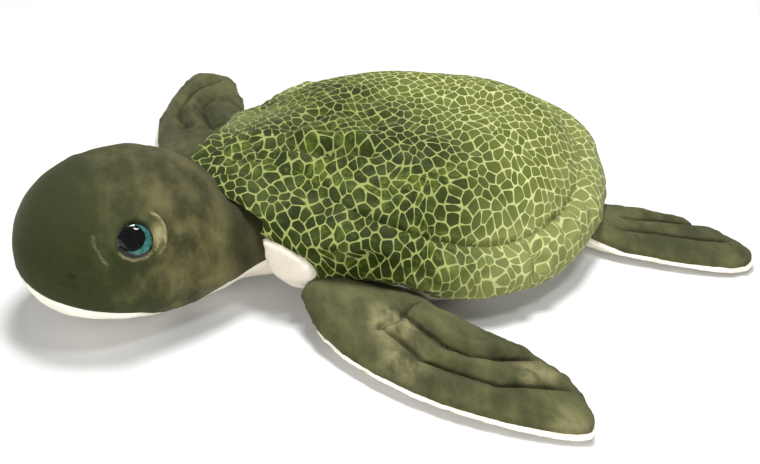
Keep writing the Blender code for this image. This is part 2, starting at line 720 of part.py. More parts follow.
def round_solid(name, slot, place, profile, pivot=None):
    """A turned piece: radius and height pairs from the bottom, spun about local Z."""
    bm = bmesh.new()
    rings = []
    for radius, height in profile:
        if radius == 0:
            rings.append([bm.verts.new((0, 0, height))])
            continue
        turns = [2 * math.pi * step / EYE_ROUND for step in range(EYE_ROUND)]
        rings.append([bm.verts.new((radius * math.cos(a), radius * math.sin(a), height)) for a in turns])
    pairs = list(zip(rings, rings[1:]))
    if profile[0][0] > 0:
        pairs.append((rings[-1], rings[0]))
    for low, high in pairs:
        for step in range(EYE_ROUND):
            after = (step + 1) % EYE_ROUND
            corners = [low[step % len(low)], low[after % len(low)]]
            corners += [high[after % len(high)], high[step % len(high)]]
            bm.faces.new(list(dict.fromkeys(corners)))
    bm.transform(place)
    return add_object(name, bm, slot, pivot)


def round_cutter(name, place, profile):
    """A turned guide that only cuts."""
    return hide_guide(round_solid(name, "stuffing", place, profile))


def disc(radius, low, high):
    """Profile of a plain round disc."""
    return ((0, low), (radius, low), (radius, high), (0, high))


def eye_place(side, tree):
    """Frame of an eye: its origin on the head's side, local Z pointing out."""
    start = Vector((side, NECK_AXIS_Y - EYE_FROM_NECK, EYE_HEIGHT))
    spot, normal, _, _ = tree.ray_cast(start, Vector((-side, 0, 0)))
    if normal.x * side < 0:
        normal = -normal
    return Matrix.Translation(spot) @ normal.to_track_quat("Z", "Y").to_matrix().to_4x4()


def is_skin(row, column):
    """Faces of the head's olive skin; the others are its cream chin panel."""
    return row >= 0 and column >= CHIN_COLUMNS


def is_chin(row, column):
    """Faces of the cream chin panel, with the neck root's end."""
    return not is_skin(row, column)


def build_head():
    """Head skin, chin panel, lids, eyes and stuffing."""
    pivot = Vector((NECK_CENTRE_X, NECK_AXIS_Y, NECK_AXIS_HEIGHT))
    bag = head_bag()
    tree = BVHTree.FromPolygons(bag.points, [face for _, face in bag.faces])
    skin = add_object("head_skin", bag.panel(is_skin), "olive_plush", pivot)
    add_object("chin_panel", bag.panel(is_chin), "cream_plush", pivot)
    stuffing = add_object("head_stuffing", bag.solid(FABRIC + STUFFING_GAP), "stuffing", pivot)
    for side, tag in ((1, "left"), (-1, "right")):
        place = eye_place(side, tree)
        build_lid(tag, place, skin, bag, pivot)
        build_eye(tag, place, pivot)
        build_washer(tag, place, stuffing, pivot)


def build_lid(tag, place, skin, bag, pivot):
    """Round lid patch let into the skin, with the eye's bed and a hole for its shank."""
    lid = LID_DIAMETER / 2
    shank = SHANK_DIAMETER / 2 + FIT_GAP
    radius = EYE_DIAMETER / 2 + FIT_GAP
    patch = add_object("eyelid_patch_" + tag, bag.panel(is_skin), "olive_plush", pivot)
    boolean(skin, round_cutter("lid_opening_" + tag, place, disc(lid, CUT_LOW, CUT_HIGH)))
    blank = round_cutter("lid_blank_" + tag, place, disc(lid - FIT_GAP, CUT_LOW, CUT_HIGH))
    boolean(patch, blank, "INTERSECT")
    boolean(patch, round_cutter("eye_bed_" + tag, place, (
        (0, 1.1 * CUT_LOW), (shank, 1.1 * CUT_LOW), (shank, -EYE_SINK), (radius, -EYE_SINK),
        (radius, 1.1 * CUT_HIGH), (0, 1.1 * CUT_HIGH))))


def build_eye(tag, place, pivot):
    """Safety eye: teal disc with its shank, black pupil and clear domed lens."""
    radius = EYE_DIAMETER / 2
    shank = SHANK_DIAMETER / 2
    bottom = FIT_GAP - EYE_SINK
    face = bottom + IRIS_THICKNESS
    round_solid("eye_iris_" + tag, "teal_iris", place, (
        (0, bottom - SHANK_LENGTH), (shank, bottom - SHANK_LENGTH), (shank, bottom),
        (radius, bottom), (radius, face), (0, face)), pivot)
    shifted = place @ Matrix.Translation((PUPIL_OFFSET, 0, 0))
    pupil_top = face + FIT_GAP + PUPIL_THICKNESS
    round_solid("eye_pupil_" + tag, "black_plastic", shifted,
                disc(PUPIL_DIAMETER / 2, face + FIT_GAP, pupil_top), pivot)
    shoulder = face + LENS_EDGE
    profile = [(0, face + FIT_GAP), (radius, face + FIT_GAP), (radius, shoulder)]
    for degrees in (20, 40, 60, 75):
        angle = math.radians(degrees)
        profile.append((radius * math.cos(angle), shoulder + EYE_DOME * math.sin(angle)))
    profile.append((0, shoulder + EYE_DOME))
    lens = round_solid("eye_lens_" + tag, "clear_lens", place, profile, pivot)
    boolean(lens, round_cutter("pupil_recess_" + tag, shifted,
                               disc(PUPIL_DIAMETER / 2 + FIT_GAP, face, pupil_top + FIT_GAP)))


def build_washer(tag, place, stuffing, pivot):
    """Lock washer on the shank behind the fabric, with its pit in the stuffing."""
    shank = SHANK_DIAMETER / 2 + FIT_GAP
    washer = WASHER_DIAMETER / 2
    top = -FABRIC - WASHER_SAG
    base = top - WASHER_THICKNESS
    round_solid("eye_washer_" + tag, "white_plastic", place,
                ((shank, base), (washer, base), (washer, top), (shank, top)), pivot)
    shank_end = -EYE_SINK - SHANK_LENGTH
    boolean(stuffing, round_cutter("washer_pit_" + tag, place, (
        (0, shank_end), (shank, shank_end), (shank, base - FIT_GAP), (washer + FIT_GAP, base - FIT_GAP),
        (washer + FIT_GAP, CUT_HIGH), (0, CUT_HIGH))))


def build_torso(rooms):
    """Dome, rim band, belly and stuffing, with room for every limb's root."""
    bag, rows = torso_bag()
    slots = {"belly_panel": "cream_plush", "shell_rim_band": "shell_print", "shell_top_panel": "shell_print"}
    cut = []
    for name, span in rows.items():
        piece = add_object(name, bag.panel(lambda row, column, span=span: row in span), slots[name])
        if name != "shell_top_panel":
            cut.append(piece)
    cut.append(add_object("body_stuffing", bag.solid(FABRIC + STUFFING_GAP), "stuffing"))
    for room in rooms:
        for piece in cut:
            boolean(piece, room)


def build():
    """Remove what the scene holds, then make every piece of the turtle."""
    for old in list(bpy.data.objects):
        bpy.data.objects.remove(old, do_unlink=True)
    build_head()
    neck = Vector((NECK_CENTRE_X, NECK_AXIS_Y, NECK_AXIS_HEIGHT))
    rooms = [keyhole("room_for_neck", neck, Vector((-1, 0, 0)), Vector((0, -1, 0)),
                     NECK_ROOT_RADIUS + FIT_GAP, neck_half_width() + NECK_ROOM,
                     -NOD_DOWN - NECK_DROP, NOD_UP + NECK_SLOPE)]
    rooms.append(front_flipper(1, "front_flipper_left"))
    rooms.append(front_flipper(-1, "front_flipper_right"))
    rooms.append(rear_flipper(1, "rear_flipper_left", REAR_ANGLE_LEFT))
    rooms.append(rear_flipper(-1, "rear_flipper_right", REAR_ANGLE_RIGHT))
    build_torso(rooms)


build()
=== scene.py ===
# %% [markdown]
# # A big stuffed sea turtle, sewn from plush
#
# The frame holds the turtle's plain solids: every bag of fabric with its filling, and the hinges of
# the neck and the flippers. This lesson dresses them. Each bag is copied from the solids, made into
# one skin, blown up like a real stuffed toy with Blender's cloth, and then its seams, channels and
# folds are pressed in. Last, every fabric gets its own material.

# %% Load the frame
import json
import math

import bmesh
import bpy
import numpy as np
from mathutils import Matrix, Vector, noise
from mathutils.bvhtree import BVHTree
from mathutils.kdtree import KDTree


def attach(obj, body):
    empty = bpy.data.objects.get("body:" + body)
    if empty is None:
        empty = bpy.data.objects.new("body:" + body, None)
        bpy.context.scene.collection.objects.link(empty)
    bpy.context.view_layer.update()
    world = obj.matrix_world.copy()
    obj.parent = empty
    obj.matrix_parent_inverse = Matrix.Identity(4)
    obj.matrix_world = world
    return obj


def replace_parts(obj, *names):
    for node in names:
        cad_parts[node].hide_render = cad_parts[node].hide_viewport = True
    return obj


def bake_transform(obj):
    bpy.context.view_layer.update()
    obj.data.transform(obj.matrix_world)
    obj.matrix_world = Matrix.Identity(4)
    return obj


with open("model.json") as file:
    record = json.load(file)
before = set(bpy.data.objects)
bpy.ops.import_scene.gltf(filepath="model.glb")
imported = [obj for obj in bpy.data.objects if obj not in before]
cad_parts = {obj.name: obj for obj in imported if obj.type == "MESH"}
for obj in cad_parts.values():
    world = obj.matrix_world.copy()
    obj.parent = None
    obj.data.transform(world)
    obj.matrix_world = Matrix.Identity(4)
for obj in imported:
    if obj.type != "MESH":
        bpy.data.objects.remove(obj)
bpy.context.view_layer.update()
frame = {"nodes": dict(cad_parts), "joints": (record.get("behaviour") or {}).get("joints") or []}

# %% [markdown]
# ## Camera
#
# The photograph looks down on the turtle's left front quarter from about a metre away. The camera is
# set first, because some folds are placed by where they lie in the picture: a ray from the camera
# through that spot of the picture finds the same spot on the fabric.

# %% Set up the camera
PICTURE_WIDTH, PICTURE_HEIGHT = 760, 464
FOCAL_PIXELS = 1200.0
AZIMUTH, ELEVATION = math.radians(59.34), math.radians(32.02)
DISTANCE = 1.1164
LOOK_AT = Vector((0.0946, -0.1153, 0.045))
SENSOR_WIDTH = 36.0        # millimetres

backward = Vector((math.sin(AZIMUTH) * math.cos(ELEVATION), -math.cos(AZIMUTH) * math.cos(ELEVATION),
                   math.sin(ELEVATION)))
rightward = Vector((math.cos(AZIMUTH), math.sin(AZIMUTH), 0.0))
upward = backward.cross(rightward)
eye_point = LOOK_AT + backward * DISTANCE

lens = bpy.data.cameras.new("camera")
lens.sensor_fit = "HORIZONTAL"
lens.sensor_width = SENSOR_WIDTH
lens.lens = FOCAL_PIXELS / PICTURE_WIDTH * SENSOR_WIDTH
camera = bpy.data.objects.new("camera", lens)
bpy.context.collection.objects.link(camera)
turn = Matrix((rightward, upward, backward)).transposed().to_4x4()
camera.matrix_world = Matrix.Translation(eye_point) @ turn
bpy.context.scene.camera = camera


def ray_through(across, down):
    """Direction of the camera's ray through a spot of the picture, in its pixels."""
    x = (across - PICTURE_WIDTH / 2) / FOCAL_PIXELS
    y = (PICTURE_HEIGHT / 2 - down) / FOCAL_PIXELS
    return (rightward * x + upward * y - backward).normalized()


def seen_at(points):
    """Where points appear in the picture, across and down in its pixels."""
    away = points - np.array(eye_point)
    depth = -(away @ np.array(backward))
    return (PICTURE_WIDTH / 2 + FOCAL_PIXELS * (away @ np.array(rightward)) / depth,
            PICTURE_HEIGHT / 2 - FOCAL_PIXELS * (away @ np.array(upward)) / depth)


print("camera at", [round(v, 3) for v in eye_point], "lens", round(lens.lens, 1), "mm")

# %% [markdown]
# ## Small tools for meshes
#
# Fabric is shaped by moving many points a little, so the points of a mesh are read into one numpy
# array, moved all at once, and written back. That is far quicker than a loop over vertices.

# %% Read and write the points of a mesh
def points_of(piece):
    """All points of a mesh, one row each."""
    flat = np.empty(len(piece.data.vertices) * 3)
    piece.data.vertices.foreach_get("co", flat)
    return flat.reshape(-1, 3)


def move_points(piece, points):
    """Write the points back."""
    piece.data.vertices.foreach_set("co", np.ascontiguousarray(points).ravel())
    piece.data.update()


def normals_of(piece):
    """Outward direction at every point."""
    flat = np.empty(len(piece.data.vertices) * 3)
    piece.data.vertices.foreach_get("normal", flat)
    return flat.reshape(-1, 3)


def smooth_step(values):
    """0 below 0, 1 above 1, and an S-curve between."""
    values = np.clip(values, 0.0, 1.0)
    return values * values * (3 - 2 * values)


def ramp(values, start, span):
    """0 at a start, 1 a span further on, which may be below 0, and an S-curve between."""
    return smooth_step((values - start) / span)


def bell(values, middle, width):
    """1 in the middle, falling off on both sides."""
    return np.exp(-(((values - middle) / width) ** 2))


def keep_on_points(piece, name, values):
    """Store a number or a vector for every point, which a material can read."""
    kind, field = ("FLOAT", "value") if values.ndim == 1 else ("FLOAT_VECTOR", "vector")
    layer = piece.data.attributes.new(name, kind, "POINT")
    layer.data.foreach_set(field, values.astype(np.float32).ravel())


def tree_of(piece):
    """Search tree of a piece's surface."""
    mesh = piece.data
    return BVHTree.FromPolygons([v.co for v in mesh.vertices], [p.vertices for p in mesh.polygons])


def select_only(piece):
    """Deselect everything, then select one piece and make it the active one."""
    bpy.ops.object.select_all(action="DESELECT")
    piece.select_set(True)
    bpy.context.view_layer.objects.active = piece


def apply_modifiers(piece):
    """Make every modifier of a piece part of its mesh."""
    select_only(piece)
    for modifier in list(piece.modifiers):
        bpy.ops.object.modifier_apply(modifier=modifier.name)


def even_squares(piece, voxel, rounds):
    """Remesh a piece into one closed skin of even squares, and smooth it some rounds."""
    remesh = piece.modifiers.new("skin", "REMESH")
    remesh.mode = "VOXEL"
    remesh.voxel_size = voxel
    smooth = piece.modifiers.new("smooth", "SMOOTH")
    smooth.factor = 0.5
    smooth.iterations = rounds
    apply_modifiers(piece)


def from_bmesh(name, bm):
    """A new object from a bmesh."""
    mesh = bpy.data.meshes.new(name)
    bm.to_mesh(mesh)
    bm.free()
    piece = bpy.data.objects.new(name, mesh)
    bpy.context.collection.objects.link(piece)
    return piece


print("mesh tools ready")

# %% [markdown]
# ## From solids to one skin
#
# A bag in the frame is a few solids that lie close together: panels and filling. Joined and remeshed
# with small cubes (a voxel remesh), they become one closed skin of even squares, which is what the
# cloth simulation needs. Smoothing takes out the solids' flat facets.

# %% Make a bag's skin from its solids
SAME_POINT = 1e-5          # points closer than this are one


def skin_of(name, nodes, voxel, rounds):
    """One closed, smooth skin round some of the frame's solids."""
    bm = bmesh.new()
    for node in nodes:
        bm.from_mesh(frame["nodes"][node].data)
    bmesh.ops.remove_doubles(bm, verts=bm.verts, dist=SAME_POINT)
    piece = from_bmesh(name, bm)
    even_squares(piece, voxel, rounds)
    print(name, "skin has", len(piece.data.polygons), "faces")
    return piece


# %% Make the skins of the body, the head and the flippers
# The panels come first in each list, and what lies inside them last.
TORSO = ["shell_top_panel", "shell_rim_band", "belly_panel", "body_stuffing"]
HEAD = ["head_skin", "chin_panel", "eyelid_patch_left", "eyelid_patch_right", "head_stuffing",
        "eye_washer_left", "eye_washer_right"]
LIMBS = ["front_flipper_left", "front_flipper_right", "rear_flipper_left", "rear_flipper_right"]
LIMB_PARTS = {limb: [limb + "_upper_panel", limb + "_under_panel", limb + "_stuffing"] for limb in LIMBS}
TORSO_PANELS, HEAD_PANELS = TORSO[:3], HEAD[:4]

torso = skin_of("torso_bag", TORSO, 0.0045, 6)
head = skin_of("head_bag", HEAD, 0.0042, 8)
limbs = {limb: skin_of(limb + "_bag", LIMB_PARTS[limb], 0.0032, 6) for limb in LIMBS}

# %% [markdown]
# ## Lines on the fabric
#
# A fold or a sewn line is a line on the surface. Points near it sink, and points a little further
# off rise, the way cloth bulges beside a crease. Both fade with distance, and the line runs out at
# its ends. Lines are given in plan, or as spots of the picture that the camera's rays carry to the
# fabric.

# %% Press a line into a skin
LINE_REACH = 4             # widths round a line in which points are moved
BULGE_PLACE = 2.1          # widths from a line to the top of the bulge beside it
FACES_UP = 0.05            # least upward part of a normal on the side that faces up
TINY = 1e-12


def distance_to_line(points, line):
    """Distance from points to a polyline, and how far along it they are, from 0 to 1."""
    lengths = np.linalg.norm(np.diff(line, axis=0), axis=1)
    before = np.concatenate([[0.0], np.cumsum(lengths)])
    best = np.full(len(points), np.inf)
    along = np.zeros(len(points))
    for index, length in enumerate(lengths):
        step = line[index + 1] - line[index]
        share = np.clip(((points - line[index]) @ step) / max(length * length, TINY), 0, 1)
        gap = np.linalg.norm(points - (line[index] + share[:, None] * step), axis=1)
        closer = gap < best
        best[closer] = gap[closer]
        along[closer] = (before[index] + share[closer] * length) / before[-1]
    return best, along


def near_line(piece, line, width, flat):
    """All points and normals, the numbers of those near a line, their gap in widths, and how far along."""
    points, out = points_of(piece), normals_of(piece)
    line = np.asarray(line, float)
    size = 2 if flat else 3
    near = np.all((points[:, :size] > line[:, :size].min(0) - LINE_REACH * width)
                  & (points[:, :size] < line[:, :size].max(0) + LINE_REACH * width), axis=1)
    if flat:
        near &= out[:, 2] > FACES_UP
    chosen = np.nonzero(near)[0]
    gap, along = distance_to_line(points[chosen][:, :size], line[:, :size])
    return points, out, chosen, gap / width, along


def run_out(along, fade):
    """1 along a line, falling to 0 over a share of it at each end."""
    return ramp(along, 0, fade) * ramp(along, 1, -fade)


def press(piece, line, depth, width, bulge=0.35, fade=0.15, flat=False, calm=None):
    """Press a fold along a line. A flat line is in plan, and works on the side that faces up."""
    points, out, chosen, gap, along = near_line(piece, line, width, flat)
    left = run_out(along, fade)
    shape = bulge * bell(gap, BULGE_PLACE, 1) - bell(gap, 0, 1)
    if calm is not None:
        left = left * calm[chosen]
    points[chosen] += out[chosen] * (shape * depth * left)[:, None]
    move_points(piece, points)


def swell(piece, spot, height, reach, direction=None):
    """Raise a soft hill round a spot, along the surface's own direction or a given one."""
    points, out = points_of(piece), normals_of(piece)
    hill = np.exp(-(((points - np.asarray(spot)) / np.asarray(reach)) ** 2).sum(axis=1)) * height
    way = out if direction is None else np.asarray(direction, float)[None, :]
    move_points(piece, points + way * hill[:, None])


def seen_line(piece, pixels, steps=4):
    """Points on a skin under a line drawn in the picture."""
    tree = tree_of(piece)
    spots = [tuple(a + (b - a) * step / steps for a, b in zip(one, two))
             for one, two in zip(pixels, pixels[1:]) for step in range(steps)] + [pixels[-1]]
    hits = [tree.ray_cast(eye_point, ray_through(*spot))[0] for spot in spots]
    return np.array([hit for hit in hits if hit is not None])


print("lines can be pressed")

# %% [markdown]
# ## The collar, the bib and the neck
#
# The shell's front edge runs nearly straight over the neck and hangs down beside it, and below it the
# pale belly bulges out as a bib between the neck and the flipper. The solids stay clear of the
# nodding head there. The cloth reaches further: the front of the skin is drawn forward to the line
# that the photograph shows, and the neck is drawn in under it.

# %% Draw the shell's front forward over the neck
# The front edge in plan, from the turtle's right to its left.
COLLAR_EDGE = [(-0.120, -0.150), (-0.095, -0.190), (-0.075, -0.218), (-0.050, -0.240), (-0.025, -0.250),
               (0.020, -0.251), (0.070, -0.245), (0.095, -0.236), (0.115, -0.221), (0.140, -0.200),
               (0.170, -0.176)]
COLLAR_DEPTH = 0.075       # how far behind the edge the cloth is drawn along
COLLAR_LOW = 0.045         # the edge is looked for above this height
COLLAR_END = 0.02          # the drawing runs out over this width at both ends
SLICES, SLICE_HALF_WIDTH = 29, 0.006

edge_x, edge_y = (np.array(axis) for axis in zip(*COLLAR_EDGE))
slices = np.linspace(edge_x[0], edge_x[-1], SLICES)
points = points_of(torso)
x, y, z = points.T.copy()
upper = points[z > COLLAR_LOW]
present = np.array([upper[np.abs(upper[:, 0] - middle) < SLICE_HALF_WIDTH][:, 1].min() for middle in slices])
reach = np.maximum(present - np.interp(slices, edge_x, edge_y), 0)
reach = np.convolve(np.pad(reach, 2, mode="edge"), np.full(5, 0.2), mode="valid")
share = smooth_step(1 - (y - np.interp(x, slices, present)) / COLLAR_DEPTH)
# Above the neck only the collar itself is drawn forward, and beside it the cloth that hangs there too.
beside = ramp(np.abs(x), 0.084, 0.014) * ramp(np.abs(x), 0.152, -0.036)
above, drape = ramp(z, 0.062, 0.014), ramp(z, -0.012, 0.055)
share *= above + (drape - above) * beside
share *= ramp(x, edge_x[0], COLLAR_END) * ramp(x, edge_x[-1], -COLLAR_END)
points[:, 1] -= np.interp(x, slices, reach) * share
move_points(torso, points)
print("collar drawn forward by up to", round(float(reach.max()) * 1000, 1), "mm")

# %% Draw the neck in under the collar, and swell the throat and the bib
NECK_MIDDLE = np.array([0.010, 0.0, 0.056])
NECK_DRAWN_IN = 0.08       # share of the neck's radius
# Each swell: its middle, height, reach and direction on the left side. The right side has its mirror image.
BIB_SWELLS = [((0.092, -0.192, 0.018), 0.014, (0.030, 0.022, 0.022), (0.45, -0.85, 0.0)),
              ((0.074, -0.205, 0.012), 0.014, (0.026, 0.026, 0.020), (0.80, -0.60, 0.0)),
              ((0.098, -0.199, 0.040), 0.017, (0.019, 0.026, 0.020), (0.25, -0.97, 0.0))]
THROAT_SWELLS = [((0.078, -0.250, 0.014), 0.012, (0.024, 0.030, 0.024), (-0.80, 0.20, 0.55)),
                 ((0.062, -0.222, 0.045), 0.020, (0.022, 0.024, 0.026), (0.86, 0.50, 0.0)),
                 ((0.054, -0.375, 0.012), 0.0050, (0.040, 0.045, 0.022), (-0.40, 0.20, 0.88))]

points = points_of(head)
from_middle = (points - NECK_MIDDLE) * (1, 0, 1)
points -= from_middle * (NECK_DRAWN_IN * ramp(points[:, 1], -0.262, 0.024))[:, None]
move_points(head, points)
for piece, swells in ((torso, BIB_SWELLS), (head, THROAT_SWELLS)):
    for mirror in ((1, 1, 1), (-1, 1, 1)):
        for spot, height, reach, direction in swells:
            swell(piece, np.multiply(spot, mirror), height, reach, np.multiply(direction, mirror))
# The far front corner of the shell hangs lower than the near one.
swell(torso, (-0.190, -0.115, 0.060), 0.008, (0.050, 0.040, 0.040), (0.5, 0.3, -0.8))
print("neck drawn in,", len(BIB_SWELLS) + len(THROAT_SWELLS), "swells on each side")

# %% [markdown]
# ## Channels of the flippers
#
# Each flipper's upper side is quilted: two sewn lines curve from the shoulder to the rear edge and
# leave three stuffed channels, like fingers, and each channel ends in a small step of the edge. The
# coarse channels of the solids are first smoothed away, then the lines are sewn down where the
# photograph has them. Between them the cloth simulation will puff the channels up.

# %% Where the lines of the flippers run
FRONT_VALLEYS = [
    [(0.202, -0.186), (0.213, -0.180), (0.225, -0.176), (0.257, -0.171), (0.278, -0.159), (0.297, -0.145),
     (0.314, -0.132), (0.321, -0.118), (0.333, -0.096), (0.344, -0.074)],
    [(0.187, -0.158), (0.203, -0.155), (0.220, -0.152), (0.256, -0.144), (0.273, -0.134), (0.282, -0.120),
     (0.291, -0.100), (0.298, -0.078)]]
FRONT_START = [(422, 300), (411, 305), (401, 319), (388, 323), (373, 331)]      # spots of the picture
FRONT_STEPS = [(0.345, -0.072), (0.299, -0.075)]
REAR_PLAN_ANGLES = {"rear_flipper_left": 38.0, "rear_flipper_right": 122.0}
REAR_VALLEYS = [
    [(0.036, 0.006), (0.056, 0.012), (0.076, 0.0195), (0.092, 0.026), (0.108, 0.037), (0.114, 0.048)],
    [(0.036, -0.012), (0.058, -0.008), (0.080, -0.003), (0.100, 0.000), (0.117, 0.0045), (0.135, 0.013),
     (0.147, 0.024)]]


def side_of(limb):
    """1 on the turtle's left, -1 on its right."""
    return 1 if limb.endswith("left") else -1


def hinge_of(limb):
    """The frame's joint that carries a flipper."""
    return next(joint for joint in frame["joints"] if joint["child"] == limb)


def rear_way(limb):
    """Direction in plan along a rear flipper."""
    turned = math.radians(REAR_PLAN_ANGLES[limb])
    return np.array([math.cos(turned) * side_of(limb), math.sin(turned)])


def limb_lines(limb):
    """Sewn lines and edge steps of a flipper in plan."""
    side = side_of(limb)
    if limb.startswith("front"):
        valleys = [[(x * side, y) for x, y in line] for line in FRONT_VALLEYS]
        return valleys, [(x * side, y) for x, y in FRONT_STEPS]
    along = rear_way(limb)
    across = np.array([-along[1], along[0]]) * side
    root = np.array(hinge_of(limb)["pos_m"][:2])
    valleys = [[root + along * a + across * b for a, b in line] for line in REAR_VALLEYS]
    return valleys, [line[-1] for line in valleys]

# %% Smooth the solids' channels away and sew the lines
def edges_of(piece):
    """Pairs of points that an edge joins."""
    pairs = np.empty(len(piece.data.edges) * 2, int)
    piece.data.edges.foreach_get("vertices", pairs)
    return pairs.reshape(-1, 2)


def spread_out(values, pairs, rounds, held=None):
    """Average values with their neighbours' some rounds, and leave the held ones alone."""
    values = values.astype(float).copy()
    column = values.reshape(len(values), -1)
    count = np.bincount(pairs.ravel(), minlength=len(column))[:, None]
    for _ in range(rounds):
        total = np.zeros_like(column)
        for axis in range(column.shape[1]):
            total[:, axis] = (np.bincount(pairs[:, 0], column[pairs[:, 1], axis], len(column))
                              + np.bincount(pairs[:, 1], column[pairs[:, 0], axis], len(column)))
        mean = total / np.maximum(count, 1)
        step = 0.5 * (mean - column)
        if held is not None:
            step *= (1 - held)[:, None]
        column = column + step
    return column.reshape(values.shape)


STEP_REACH = 0.020         # round the end of a channel, where the edge is softened
SOFTENING_ROUNDS, CHANNEL_ROUNDS = 24, 60
VALLEY_DEPTH = {"front": 0.0085, "rear": 0.0060}
VALLEY_WIDTH = 0.0062


def soften_edge(piece, spots):
    """Round the steps of a flipper's edge near some spots in plan."""
    points = points_of(piece)
    gap = np.min([np.linalg.norm(points[:, :2] - np.asarray(spot), axis=1) for spot in spots], axis=0)
    share = ramp(gap, 1.4 * STEP_REACH, -STEP_REACH)
    rounder = spread_out(points[:, :2], edges_of(piece), SOFTENING_ROUNDS)
    points[:, :2] += (rounder - points[:, :2]) * share[:, None]
    move_points(piece, points)


for limb in LIMBS[:2]:
    side = side_of(limb)
    swell(limbs[limb], (0.126 * side, -0.204, 0.024), 0.019, (0.042, 0.026, 0.034), (0.1 * side, -0.25, 0.96))
    swell(limbs[limb], (0.180 * side, -0.178, 0.030), 0.006, (0.040, 0.032, 0.030))
swell(limbs["front_flipper_right"], (-0.345, -0.085, 0.020), 0.011, (0.022, 0.022, 0.030), (0.0, 1.0, 0.0))

for limb, piece in limbs.items():
    points = points_of(piece)
    up = smooth_step(normals_of(piece)[:, 2] * 4)
    smoothed = spread_out(points[:, 2], edges_of(piece), CHANNEL_ROUNDS)
    points[:, 2] += (smoothed - points[:, 2]) * up
    move_points(piece, points)
    valleys, steps = limb_lines(limb)
    for line in valleys:
        press(piece, line, VALLEY_DEPTH[limb.split("_")[0]], VALLEY_WIDTH, bulge=0.25, fade=0.10, flat=True)
    soften_edge(piece, steps)
print("flippers quilted")

# %% [markdown]
# ## Swelling the bags
#
# A stuffed toy is round between its seams because the filling pushes the fabric out and the thread
# holds it back. Blender's cloth does the same: pressure inside, and the points on the seams and sewn
# lines pinned. The seams are where two panels of the frame meet, so for each point of a skin the
# nearest panel is looked up. A point may move only a few millimetres, so the bag keeps its size.

# %% Look up the seams
def panel_distances(points, nodes):
    """Distance from each point to each panel, one column a panel."""
    table = np.empty((len(points), len(nodes)))
    for column, node in enumerate(nodes):
        tree = tree_of(frame["nodes"][node])
        table[:, column] = [tree.find_nearest(Vector(point))[3] for point in points]
    return table


def from_seam(piece, nodes):
    """How much further the second nearest panel is than the nearest, 0 on a seam."""
    near = np.sort(panel_distances(points_of(piece), nodes), axis=1)
    return near[:, 1] - near[:, 0]


def line_nearness(piece, line, reach):
    """1 on a line in plan, on the side that faces up, falling to 0 at a distance from it."""
    points, out, chosen, gap, along = near_line(piece, line, reach, True)
    near = np.zeros(len(points))
    near[chosen] = np.clip(1.3 - gap, 0, 1)
    return near


# %% Give a skin its cloth, and take the result
FRAMES = 20
PIN_STEPS = 8              # weights of the pinned points


def start_cloth(piece, pinned, pressure, slack):
    """Blender's cloth with pressure inside and the sewn points pinned."""
    group = piece.vertex_groups.new(name="sewn")
    for step in range(1, PIN_STEPS + 1):
        chosen = np.nonzero((pinned > (step - 1) / PIN_STEPS) & (pinned <= step / PIN_STEPS))[0]
        group.add([int(index) for index in chosen], step / PIN_STEPS, "REPLACE")
    cloth = piece.modifiers.new("cloth", "CLOTH")
    settings = cloth.settings
    settings.quality = 4
    settings.mass = 0.15
    settings.tension_stiffness = 12
    settings.compression_stiffness = 12
    settings.shear_stiffness = 5
    settings.bending_stiffness = 0.3
    settings.use_pressure = True
    settings.uniform_pressure_force = pressure
    settings.shrink_min = -slack
    settings.vertex_group_mass = "sewn"
    settings.effector_weights.gravity = 0.0
    cloth.collision_settings.use_self_collision = False
    cloth.collision_settings.use_collision = False
    cloth.point_cache.frame_start = 1
    cloth.point_cache.frame_end = FRAMES


def take_cloth(piece, cap):
    """Keep what the cloth did, no further than the cap, and remove the cloth."""
    before = points_of(piece)
    shaped = piece.evaluated_get(bpy.context.evaluated_depsgraph_get())
    after = np.empty(len(before) * 3)
    shaped.data.vertices.foreach_get("co", after)
    moved = after.reshape(-1, 3) - before
    length = np.linalg.norm(moved, axis=1, keepdims=True)
    piece.modifiers.remove(piece.modifiers["cloth"])
    piece.vertex_groups.clear()
    points = before + moved * (cap / (length + cap))
    points[:, 2] = np.maximum(points[:, 2], 0.0)
    move_points(piece, points)
    print(piece.name, "swelled by up to", round(float(length.max()) * 1000, 1), "mm")


# %% Swell all bags side by side
FLOOR_PIN = 0.003          # points lower than this stay on the floor
LINE_PIN = 0.003           # reach of a sewn line's pins
# Each job: a skin, its panels and sewn lines, the reach of its seams' pins, pressure, slack and cap.
jobs = [(torso, TORSO_PANELS, [], 0.006, 4.0, 0.03, 0.003), (head, HEAD_PANELS, [], 0.003, 4.0, 0.0, 0.004)]
jobs += [(limbs[limb], LIMB_PARTS[limb][:2], limb_lines(limb)[0], 0.003, 5.0, 0.02, 0.006) for limb in LIMBS]
for piece, panels, lines, reach, pressure, slack, cap in jobs:
    on_seam = np.clip(1 - from_seam(piece, panels) / reach, 0, 1)
    pinned = np.maximum(on_seam, points_of(piece)[:, 2] < FLOOR_PIN)
    for line in lines:
        pinned = np.maximum(pinned, line_nearness(piece, line, LINE_PIN))
    start_cloth(piece, pinned, pressure, slack)
scene = bpy.context.scene
scene.frame_start, scene.frame_end = 1, FRAMES
for step in range(1, FRAMES + 1):
    scene.frame_set(step)
for piece, panels, lines, reach, pressure, slack, cap in jobs:
    take_cloth(piece, cap)
scene.frame_set(1)

# %% [markdown]
# ## Finer squares
#
# One round of subdivision gives the skins enough points for folds a few millimetres wide. It comes
# after the cloth, because the simulation would be many times slower on the finer mesh.

# %% Subdivide every skin once
for piece in (torso, head, *limbs.values()):
    finer = piece.modifiers.new("finer", "SUBSURF")
    finer.levels = 1
    finer.render_levels = 1
    apply_modifiers(piece)
    print(piece.name, len(piece.data.polygons), "faces")

